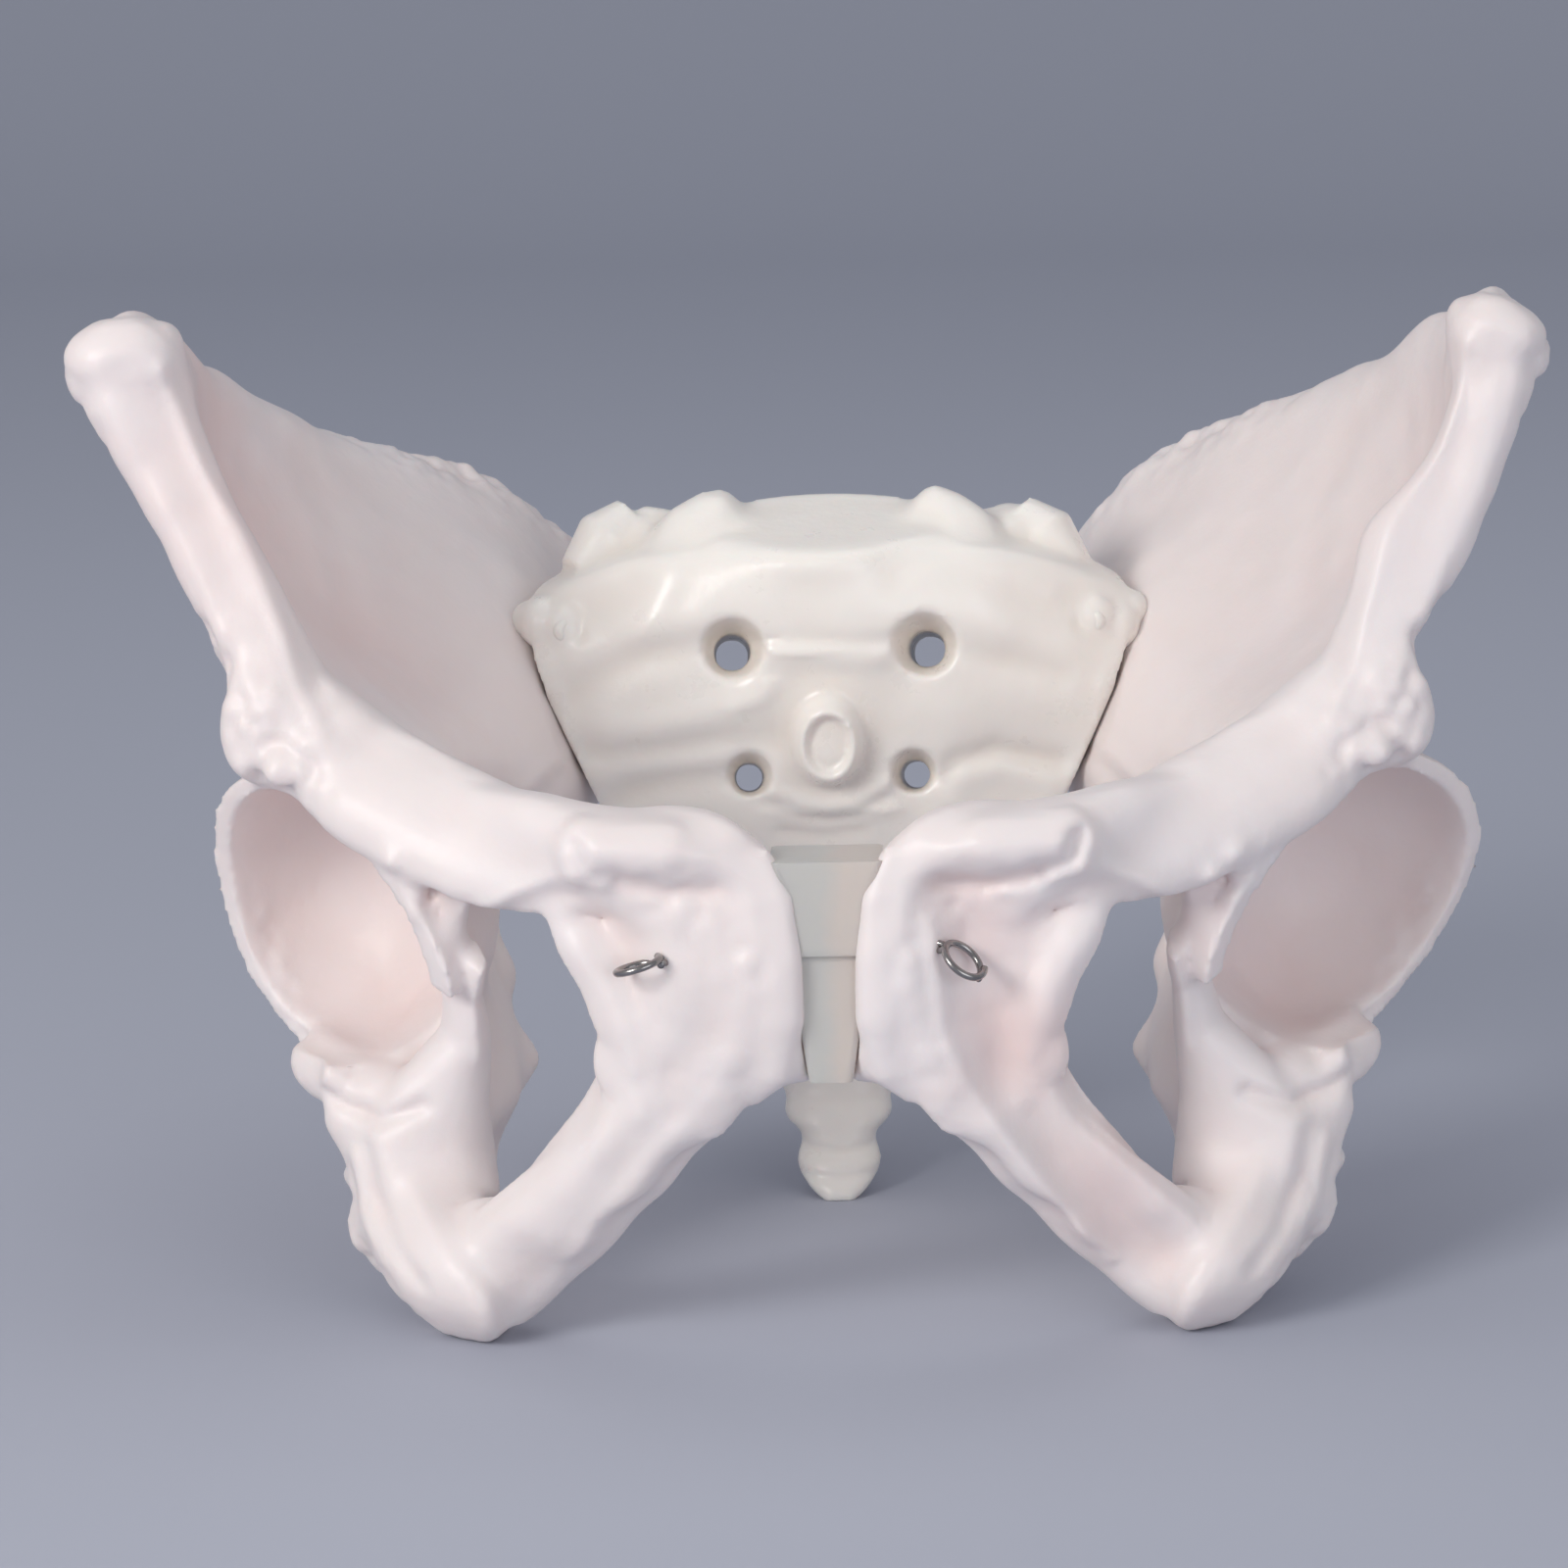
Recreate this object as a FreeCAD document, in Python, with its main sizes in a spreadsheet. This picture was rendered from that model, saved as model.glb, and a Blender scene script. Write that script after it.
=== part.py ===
import FreeCAD, Part
import math
import os

# Life-size anatomical model of a human pelvis: two hip bones and one sacrum with its coccyx,
# cast in stiff plastic, with a soft disc and a wire tie between the pubic bones.
# It stands as it rests on a table: on both sitting bones and on the tip of the coccyx.
# +X is the model's own left, +Y runs back from the pubic bones to the sacrum, +Z is up.

Vector = FreeCAD.Vector

doc = FreeCAD.newDocument("PelvisModel")
sheet = doc.addObject("Spreadsheet::Sheet", "Sizes")

# Places on the left hip bone and on the sacrum, in millimetres, as x, y, z.
# x is the distance from the middle plane, y is the depth in the resting pose, behind a line
# just in front of the spurs of the crests, and z is the height above the table.
landmarks = {
    "asis": (117, 2, 162.5),
    "tubercle": (113, 42, 154.5),
    "summit": (101, 76, 143),
    "crestback": (80, 110, 131.5),
    "psis": (47, 129, 103),
    "aiis": (94, -14, 104),
    "roof": (82, 8, 96),
    "brim": (69, 36, 86),
    "notch": (56, 60, 75),
    "piis": (47, 108, 70),
    "socket": (86, -9, 68),
    "horn": (86.5, -7, 41.5),
    "rimnotch": (69.5, -24, 50),
    "spine": (53, 22, 33),
    "tuberosity": (63, -30, 7),
    "symphysis": (11.5, -47, 68),
    "pubictubercle": (36, -49, 87),
    "eminence": (66, -20, 88),
    "ramusmiddle": (36, -41, 31),
    "joint": (53, 64, 92),
    "plug": (47.8, 66.3, 103.5),
    "promontory": (0, 57, 118),
    "knob": (0, 61, 85),
    "holefirst": (17.8, 60, 100.3),
    "holelast": (11.5, 62, 43),
    "dorsal": (0, 110, 88),
    "sacrumend": (0, 57, 26),
    "coccyxtip": (0, 46, 0),
}

# Sizes that are no place: widths, walls, radii and gaps, in millimetres or degrees.
sizes = {
    "cut_reach": (190.0, "reach of the cutting blocks, past the outside of the model"),
    "middle_depth": (38.5, "depth of the middle of the whole model, where the origin is"),
    "spur_width": (19.0, "width of the round end of the crest at the front"),
    "crest_thick": (12.5, "thickness of the crest bulb"),
    "border_thick": (17.5, "thickness of the wing's front border"),
    "fossa_wall": (4.2, "thinnest part of the iliac wing"),
    "base_thick": (18.0, "thickness of the wing above the socket"),
    "rear_thick": (17.0, "thickness of the ilium behind the joint"),
    "fossa_sag": (8.0, "hollow of the wing"),
    "socket_bore": (51.0, "inner diameter of the hip socket"),
    "socket_wall": (4.2, "wall of the hip socket"),
    "socket_mouth": (3.5, "from the ball's centre to the plane of the rim"),
    "socket_azimuth": (43.0, "turn of the socket away from straight ahead"),
    "socket_drop": (17.0, "dip of the socket below level"),
    "notch_width": (22.0, "width of the notch in the rim"),
    "ischium_thick": (25.0, "thickness of the ischium above the sitting bone"),
    "column_wall": (12.0, "thickness of the bone behind the socket"),
    "pubis_height": (41.0, "height of the face at the symphysis"),
    "pubis_thick": (14.0, "depth of the face at the symphysis"),
    "pubis_web": (8.0, "thin part of the pubic body"),
    "symphysis_taper": (4.5, "how much the faces lean apart, top to bottom"),
    "ramus_height": (17.0, "height of the upper ramus"),
    "ramus_depth": (14.0, "depth of the upper ramus"),
    "ramus_width": (21.0, "width of the lower ramus"),
    "ramus_thick": (9.5, "thickness of the lower ramus"),
    "joint_gap": (0.7, "gap at each sacroiliac joint"),
    "joint_slope": (0.45, "sideways lean of the joint, per unit of height"),
    "joint_ahead": (22.0, "from the middle of the sacroiliac joint to its front"),
    "joint_below": (60.0, "from the middle of the sacroiliac joint to below its foot"),
    "joint_toe": (0.22, "how far the joint closes in towards the back"),
    "body_width": (48.0, "width of the first sacral body"),
    "body_depth": (31.0, "depth of the first sacral body"),
    "body_tilt": (14.0, "rise of the top of the first sacral body towards the back"),
    "hole_first": (7.0, "diameter of the first pair of sacral holes"),
    "hole_last": (4.0, "diameter of the last pair of sacral holes"),
    "hole_drop": (12.0, "fall of the sacral holes towards the back"),
    "canal_width": (15.0, "width of the sacral canal at its top"),
    "canal_depth": (9.0, "depth of the sacral canal at its top"),
    "coccyx_width": (24.0, "width of the coccyx at its root"),
    "knob_width": (13.0, "outer width of the oval knob"),
    "knob_height": (20.0, "outer height of the oval knob"),
    "knob_rise": (4.0, "how far the oval knob stands out"),
    "wire_thick": (1.6, "diameter of the tie wire"),
    "wire_height": (70.0, "height of the wire above the table"),
    "wire_front": (3.0, "how far the wire runs in front of the middle of the bone's face"),
    "wire_right": (25.5, "from the middle plane to the eye on the right"),
    "wire_left": (19.5, "from the middle plane to the eye on the left"),
    "eye_width": (9.0, "outer width of the eye at each end of the wire"),
    "bore_clear": (0.2, "play of wire and pins in their bores, across"),
    "disc_step": (0.6, "share of the face's height where the disc's step is"),
    "disc_rise": (3.7, "how far the disc stands past the face at the top and the foot"),
    "disc_setback": (2.4, "how much thinner the disc is below its step"),
    "disc_gap": (0.1, "gap between the disc and each bone"),
    "disc_depth": (13.0, "depth of the disc"),
    "pin_thick": (3.0, "diameter of the pin in the joint"),
    "pin_length": (16.0, "length of the pin"),
    "pin_azimuth": (35.0, "turn of the pin away from straight back"),
    "plug_depth": (3.0, "from the front of the sacrum to the pin's head"),
    "plug_width": (4.6, "diameter of the plug over the pin"),
    "plug_rise": (0.8, "how far the plug stands out"),
}

row = 1
for name, place in landmarks.items():
    for axis, value in zip("xyz", place):
        sheet.set("A%d" % row, name + " " + axis)
        sheet.set("B%d" % row, str(value))
        sheet.setAlias("B%d" % row, name + "_" + axis)
        row = row + 1
for name, (value, note) in sizes.items():
    sheet.set("A%d" % row, note)
    sheet.set("B%d" % row, str(value))
    sheet.setAlias("B%d" % row, name)
    row = row + 1
doc.recompute()


def size(name):
    return float(sheet.get(name))


def at(name):
    return Vector(size(name + "_x"), size(name + "_y") - size("middle_depth"), size(name + "_z"))


def unit(vector):
    copy = Vector(vector)
    return copy.normalize()


def between(start, end, share):
    return start + (end - start) * share


# Curve through the given places, read at a share of its length.
def rail(places):
    curve = Part.BSplineCurve()
    curve.interpolate(places)
    span = curve.LastParameter - curve.FirstParameter
    return lambda share: curve.value(curve.FirstParameter + span * share)


# The same for single values, spaced evenly.
def grade(values):
    last = len(values) - 1
    line = rail([Vector(step, value, 0) for step, value in enumerate(values)])
    return lambda share: line(share).y if last else values[0]


# Closed smooth solid through a row of closed sections, each with the same number of places.
# The sections are joined place by place, so the skin never twists. Both ends are flat.
def skin(loops):
    count = len(loops[0])
    turns = [float(step) for step in range(count + 1)]
    run = [0.0]
    for before, after in zip(loops, loops[1:]):
        moved = sum((far - near).Length for near, far in zip(before, after)) / count
        run.append(run[-1] + math.sqrt(moved))
    rounds = []
    for places in loops:
        curve = Part.BSplineCurve()
        curve.interpolate(Points=places, Parameters=turns, PeriodicFlag=True)
        rounds.append(curve)
    poles = []
    for column in zip(*[curve.getPoles() for curve in rounds]):
        curve = Part.BSplineCurve()
        curve.interpolate(Points=list(column), Parameters=run)
        poles.append(curve.getPoles())
        along = curve
    around = rounds[0]
    surface = Part.BSplineSurface()
    surface.buildFromPolesMultsKnots(poles, around.getMultiplicities(), along.getMultiplicities(),
                                     around.getKnots(), along.getKnots(), True, False,
                                     around.Degree, along.Degree)
    side = surface.toShape()
    faces = [side]
    for edge in side.Edges:
        if edge.isClosed():
            faces.append(Part.Face(Part.Wire([edge])))
    closed = Part.makeCompound(faces)
    closed.sewShape()
    body = Part.Solid(closed.Shells[0])
    if body.Volume < 0:
        body.reverse()
    return body


# Closed section around a bent line, each place with its own half thickness, rounded at both ends.
def blade(line, halves, facing):
    side = unit(facing)
    near = [place + side * half for place, half in zip(line, halves)]
    far = [place - side * half for place, half in zip(line, halves)]
    head = line[0] + unit(line[0] - line[1]) * halves[0]
    foot = line[-1] + unit(line[-1] - line[-2]) * halves[-1]
    return [head] + near + [foot] + far[::-1]


# Closed section with rounded corners across a path.
def ring(centre, across, upward, width, height, corner=2.6, count=12):
    places = []
    for step in range(count):
        angle = 2 * math.pi * step / count
        cosine = math.cos(angle)
        sine = math.sin(angle)
        reach = (abs(cosine) ** corner + abs(sine) ** corner) ** (-1 / corner)
        places.append(centre + across * (reach * cosine * width / 2) + upward * (reach * sine * height / 2))
    return places


def solid(shape):
    return max(shape.Solids, key=lambda piece: piece.Volume)


def blob(centre, width, depth, height):
    ball = Part.makeSphere(0.5)
    grow = FreeCAD.Matrix()
    grow.scale(width, depth, height)
    shape = ball.transformGeometry(grow)
    shape.translate(centre)
    return shape


# Region beside the joint: the joint's front line, leaning outwards with height, carried back
# and closing in. It holds everything on the far side of the joint, out to the given x.
def joint_region(shift, far):
    middle = at("joint")
    slope = size("joint_slope")
    low = size("joint_below")
    line = []
    for height, lean in ((-low, -0.35), (-24, -1.0), (-8, -1.0), (8, -0.55), (26, -0.35), (low, -0.35)):
        lean_x = slope * height * (1 if abs(height) < 25 else 0.72)
        line.append(Vector(middle.x + lean_x + shift, 0, middle.z + height))
    curve = Part.BSplineCurve()
    curve.interpolate(line)
    edge = curve.toShape()
    first = line[0]
    last = line[-1]
    corner_low = Vector(far, 0, first.z)
    corner_high = Vector(far, 0, last.z)
    outline = Part.Wire([edge, Part.makeLine(last, corner_high), Part.makeLine(corner_high, corner_low),
                         Part.makeLine(corner_low, first)])
    run_back = size("cut_reach") / 2
    run_front = size("joint_ahead")
    toe = size("joint_toe")
    face = Part.Face(outline)
    face.translate(Vector(toe * run_front, middle.y - run_front, 0))
    return face.extrude(Vector(-toe * (run_front + run_back), run_front + run_back, 0))


def make_wing():
    crest = rail([at("asis"), at("tubercle"), at("summit"), at("crestback"), at("psis")])
    base = rail([at("aiis"), at("roof"), at("brim"), at("notch"), at("piis")])
    crest_half = size("crest_thick") / 2
    wall_half = size("fossa_wall") / 2
    base_half = size("base_thick") / 2
    rear_half = size("rear_thick") / 2
    sag = size("fossa_sag")
    border = size("border_thick") / 2
    head = grade([border, crest_half, crest_half, 1.05 * crest_half, 0.8 * crest_half])
    upper = grade([0.85 * border, 1.3 * wall_half, 1.3 * wall_half, 0.5 * rear_half, 0.85 * rear_half])
    middle = grade([0.9 * border, wall_half, 1.3 * wall_half, 0.85 * rear_half, 0.9 * rear_half])
    lower = grade([border, 0.65 * base_half, 0.75 * base_half, rear_half, 0.8 * rear_half])
    foot = grade([0.8 * base_half, base_half, 0.9 * base_half, 0.8 * rear_half, 0.6 * rear_half])
    hollow = grade([-0.2 * sag, 0.9 * sag, 0.1 * sag, -1.6 * sag, -0.9 * sag])
    loops = []
    steps = 8
    for step in range(-1, steps + 1):
        share = max(0, step) / steps
        top = crest(share)
        bottom = base(share)
        along = crest(min(1, share + 0.06)) - crest(max(0, share - 0.06))
        along.z = 0
        facing = unit(Vector(along.y, -along.x, 0))
        bulge = hollow(share)
        line = [top, between(top, bottom, 0.16), between(top, bottom, 0.5),
                between(top, bottom, 0.8), bottom]
        line[1] = line[1] + facing * (0.45 * bulge)
        line[2] = line[2] + facing * bulge
        line[3] = line[3] + facing * (0.55 * bulge)
        halves = [head(share), upper(share), middle(share), lower(share), foot(share)]
        if step < 0:
            # the front border is rounded over
            ahead = unit(along) * (-0.75 * border)
            line = [place + ahead for place in line]
            halves = [0.45 * half for half in halves]
        loops.append(blade(line, halves, facing))
    wing = skin(loops)
    spur = blob(at("asis"), size("spur_width"), 1.2 * size("spur_width"), 0.88 * size("spur_width"))
    return wing.fuse(spur)


# Bone behind and below the socket, as level sections from the brim down to the sitting bone.
def make_column():
    socket = at("socket")
    spine = at("spine")
    notch = at("notch")
    seat = at("tuberosity")
    wall = size("column_wall") / 2
    thick = size("ischium_thick")
    mid_height = (socket.z + spine.z) / 2
    # front and back of each section, and half thicknesses from front to back
    sections = [
        (Vector(socket.x - 11, socket.y - 4, socket.z + 22), Vector(notch.x + 10, notch.y - 10, notch.z + 7),
         (0.8 * wall, 1.2 * wall, 1.2 * wall, 0.9 * wall, 0.5 * wall)),
        (Vector(socket.x - 15, socket.y - 14, socket.z + 9), Vector(notch.x + 3, notch.y - 3, socket.z + 5),
         (0.7 * wall, 1.1 * wall, 1.1 * wall, 0.9 * wall, 0.55 * wall)),
        (Vector(socket.x - 18, socket.y - 10, socket.z - 7), Vector(notch.x + 4, notch.y - 13, socket.z - 7),
         (0.7 * wall, 1.1 * wall, 1.2 * wall, 0.8 * wall, 0.5 * wall)),
        (Vector(socket.x - 18, socket.y - 6, mid_height), Vector(spine.x + 8, spine.y + 13, mid_height),
         (0.8 * wall, 1.3 * wall, 1.4 * wall, 0.9 * wall, 0.45 * wall)),
        (Vector(socket.x - 17, socket.y - 7, spine.z + 7), Vector(spine.x + 6, spine.y + 5, spine.z + 7),
         (wall, 0.42 * thick, 0.48 * thick, 0.25 * thick, 0.4 * wall)),
        (Vector(socket.x - 15, socket.y - 9, spine.z), Vector(spine.x + 2, spine.y, spine.z),
         (wall, 0.45 * thick, 0.48 * thick, 0.2 * thick, 0.35 * wall)),
        (Vector(socket.x - 13, socket.y - 14, spine.z - 8), Vector(spine.x + 15, spine.y - 11, spine.z - 8),
         (1.1 * wall, 0.46 * thick, 0.5 * thick, 0.42 * thick, 0.7 * wall)),
        (Vector(seat.x + 4, seat.y - 4, seat.z + 8), Vector(seat.x + 7, seat.y + 30, seat.z + 8),
         (0.34 * thick, 0.42 * thick, 0.46 * thick, 0.42 * thick, 0.25 * thick)),
        (Vector(seat.x, seat.y - 6, seat.z - 1), Vector(seat.x + 3, seat.y + 18, seat.z - 1),
         (0.3 * thick, 0.36 * thick, 0.38 * thick, 0.34 * thick, 0.22 * thick)),
        (Vector(seat.x - 2, seat.y - 3, 0), Vector(seat.x + 1, seat.y + 9, 0),
         (0.16 * thick, 0.22 * thick, 0.24 * thick, 0.22 * thick, 0.14 * thick)),
    ]
    loops = []
    for front, back, halves in sections:
        line = [between(front, back, share) for share in (0, 0.22, 0.45, 0.72, 1)]
        across = back - front
        facing = unit(Vector(across.y, -across.x, 0))
        line[1] = line[1] + facing * (0.35 * (halves[1] - wall))
        line[2] = line[2] + facing * (0.45 * (halves[2] - wall))
        loops.append(blade(line, halves, facing))
    return skin(loops)


def make_upper_ramus():
    height = size("ramus_height")
    depth = size("ramus_depth")
    face = at("symphysis")
    knob = at("pubictubercle")
    hump = at("eminence")
    spur = at("aiis")
    path = [
        (Vector(face.x + 3, face.y + 1, knob.z - 4), 0.95 * depth, 0.9 * height),
        (Vector((face.x + knob.x) / 2 + 2, face.y + 1, knob.z - 2), 0.95 * depth, height),
        (Vector(knob.x + 1, knob.y + 4, knob.z - 1), depth, height),
        (between(knob, hump, 0.45), 0.95 * depth, 0.95 * height),
        (hump, 1.15 * depth, 1.15 * height),
        (between(hump, spur, 0.5) + Vector(0, 3, 0), 1.35 * depth, 1.35 * height),
        (between(hump, spur, 0.85) + Vector(0, 3, 0), 1.1 * depth, 1.1 * height),
    ]
    loops = []
    for step, (centre, wide, tall) in enumerate(path):
        before = path[max(0, step - 1)][0]
        after = path[min(len(path) - 1, step + 1)][0]
        along = after - before
        across = unit(Vector(-along.y, along.x, 0))
        loops.append(ring(centre, across, Vector(0, 0, 1), wide, tall))
    return skin(loops)


def make_lower_ramus():
    wide = size("ramus_width")
    thick = size("ramus_thick")
    face = at("symphysis")
    middle = at("ramusmiddle")
    seat = at("tuberosity")
    path = [
        (Vector(face.x + 6, face.y + 3.5, face.z - 9), 0.8 * wide, 0.8 * thick),
        (Vector(face.x + 13, face.y + 3, face.z - 22), 1.05 * wide, 0.95 * thick),
        (middle, wide, thick),
        (between(middle, seat, 0.5) + Vector(-1, -1, 0), 1.05 * wide, 1.2 * thick),
        (seat + Vector(-4, -1, 2), 0.8 * wide, 1.9 * thick),
    ]
    loops = []
    for step, (centre, broad, deep) in enumerate(path):
        before = path[max(0, step - 1)][0]
        after = path[min(len(path) - 1, step + 1)][0]
        along = unit(after - before)
        depthwise = unit(Vector(0.25, 1, 0.1))
        across = unit(along.cross(depthwise))
        deepwise = unit(across.cross(along))
        loops.append(ring(centre, across, deepwise, broad, deep))
    return skin(loops)


# Pubic body: upright sections from the face at the symphysis out to the edge of the foramen.
def make_pubic_body():
    face = at("symphysis")
    knob = at("pubictubercle")
    tall = size("pubis_height")
    deep = size("pubis_thick") / 2
    web = size("pubis_web") / 2
    lean = size("symphysis_taper") / 2
    inner = face.x - 5
    sections = [
        (Vector(inner + lean, face.y, face.z + tall / 2 - 6), Vector(inner - lean, face.y + 1, face.z - tall / 2 + 5),
         (0.8 * deep, deep, deep, 0.9 * deep, 0.7 * deep)),
        (Vector(face.x + 2, face.y, face.z + tall / 2 - 3), Vector(face.x, face.y, face.z - tall / 2 + 4),
         (0.9 * deep, 1.05 * deep, deep, 0.95 * deep, 0.75 * deep)),
        (Vector(face.x + 8, face.y + 3, knob.z), Vector(face.x + 7, face.y + 3, face.z - tall / 2),
         (deep, 0.75 * deep, 0.65 * deep, 0.65 * deep, 0.65 * deep)),
        (Vector(face.x + 17, face.y + 5, knob.z), Vector(face.x + 12, face.y + 5, face.z - tall / 2 - 2),
         (deep, web, web, web, web)),
        (Vector(knob.x + 6, knob.y + 8, knob.z - 3), Vector(knob.x - 9, face.y + 6, face.z - 0.6 * tall),
         (0.9 * deep, web, 0.9 * web, 0.9 * web, 0.8 * web)),
    ]
    loops = []
    for top, bottom, halves in sections:
        line = [between(top, bottom, share) for share in (0, 0.25, 0.5, 0.75, 1)]
        loops.append(blade(line, halves, Vector(0, 1, 0)))
    return skin(loops)


def socket_axis():
    turn = math.radians(size("socket_azimuth"))
    dip = math.radians(size("socket_drop"))
    return Vector(math.sin(turn) * math.cos(dip), -math.cos(turn) * math.cos(dip), -math.sin(dip))


def make_bowl():
    outward = socket_axis()
    centre = at("socket")
    outer = size("socket_bore") / 2 + size("socket_wall")
    ball = Part.makeSphere(outer, centre)
    mouth = size("socket_mouth")
    keep = Part.makeCylinder(2 * outer, 3 * outer, centre + outward * mouth, outward * -1)
    return ball.common(keep)


def socket_tools():
    outward = socket_axis()
    centre = at("socket")
    bore = size("socket_bore") / 2
    cup = Part.makeSphere(bore, centre)
    # flared mouth, so that the rim stays a rounded lip
    mouth = Part.makeCone(bore - 0.8, bore + 3, 12, centre + outward * (size("socket_mouth") - 3), outward)
    # floor of the socket, a little deeper than the ball
    floor = Part.makeSphere(0.5 * bore, centre - outward * (0.6 * bore))
    wide = size("notch_width")
    notch = blob(at("rimnotch"), wide, 1.2 * wide, 1.1 * wide)
    return [cup, mouth, floor, notch]


# Middle of the wire's straight run: it crosses both pubic bones and the disc in front of their middle.
def wire_line():
    face = at("symphysis")
    return Vector(0, face.y - size("wire_front"), size("wire_height"))


def wire_bore():
    reach = size("wire_right") + 2 * size("eye_width")
    start = wire_line() - Vector(reach, 0, 0)
    bore = (size("wire_thick") + size("bore_clear")) / 2
    return Part.makeCylinder(bore, 2 * reach, start, Vector(1, 0, 0))


# The pin crosses the joint from the front of the sacrum's wing, level, out and back.
def pin_axis():
    turn = math.radians(size("pin_azimuth"))
    return Vector(math.sin(turn), math.cos(turn), 0)


def pin_start():
    return at("plug") + pin_axis() * size("plug_depth")


def make_hip():
    lateral = joint_region(size("joint_gap") / 2, size("cut_reach"))
    reach = at("joint")
    ahead = size("joint_ahead")
    below = size("joint_below")
    far = size("cut_reach")
    corner = Vector(reach.x - 0.7 * far, reach.y - ahead, reach.z - below)
    medial = Part.makeBox(far, far, 2 * below, corner).cut(lateral)
    bone = solid(make_wing().cut(medial))
    pieces = [make_column(), make_upper_ramus(), make_lower_ramus(), make_pubic_body(), make_bowl(),
              blob(at("pubictubercle"), 13, 12, 12),
              blob(at("aiis") + Vector(2, 0, 0), 18, 15, 24),
              blob(between(at("aiis"), at("eminence"), 0.35), 22, 16, 17)]
    bone = bone.multiFuse(pieces, 0.01)
    pin_bore = Part.makeCylinder((size("pin_thick") + size("bore_clear")) / 2, size("pin_length"),
                                 pin_start(), pin_axis())
    table = Part.makeBox(2 * far, 2 * far, far, Vector(-far, -far, -far))
    bone = bone.cut(socket_tools() + [wire_bore(), pin_bore, table])
    # the lip below the socket, behind the notch
    lip = blob(at("horn"), 19, 22, 13).cut(Part.makeSphere(size("socket_bore") / 2, at("socket")))
    return solid(bone.fuse(lip))


# Level section of the sacrum, the same on both sides: half width, then the depths of its front
# in the middle and at the side, and of its back at the side and in the middle.
def sacral_section(height, half, front, side_front, side_back, rear):
    right = [Vector(0.42 * half, front + 0.1 * (side_front - front), height),
             Vector(0.78 * half, front + 0.6 * (side_front - front), height),
             Vector(0.97 * half, side_front + 0.06 * (side_back - side_front), height),
             Vector(half, between(Vector(0, side_front, 0), Vector(0, side_back, 0), 0.5).y, height),
             Vector(0.9 * half, side_back - 0.06 * (side_back - side_front), height),
             Vector(0.62 * half, side_back + 0.25 * (rear - side_back), height),
             Vector(0.28 * half, side_back + 0.7 * (rear - side_back), height)]
    left = [Vector(-place.x, place.y, place.z) for place in right[::-1]]
    return [Vector(0, front, height)] + right + [Vector(0, rear, height)] + left


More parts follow.
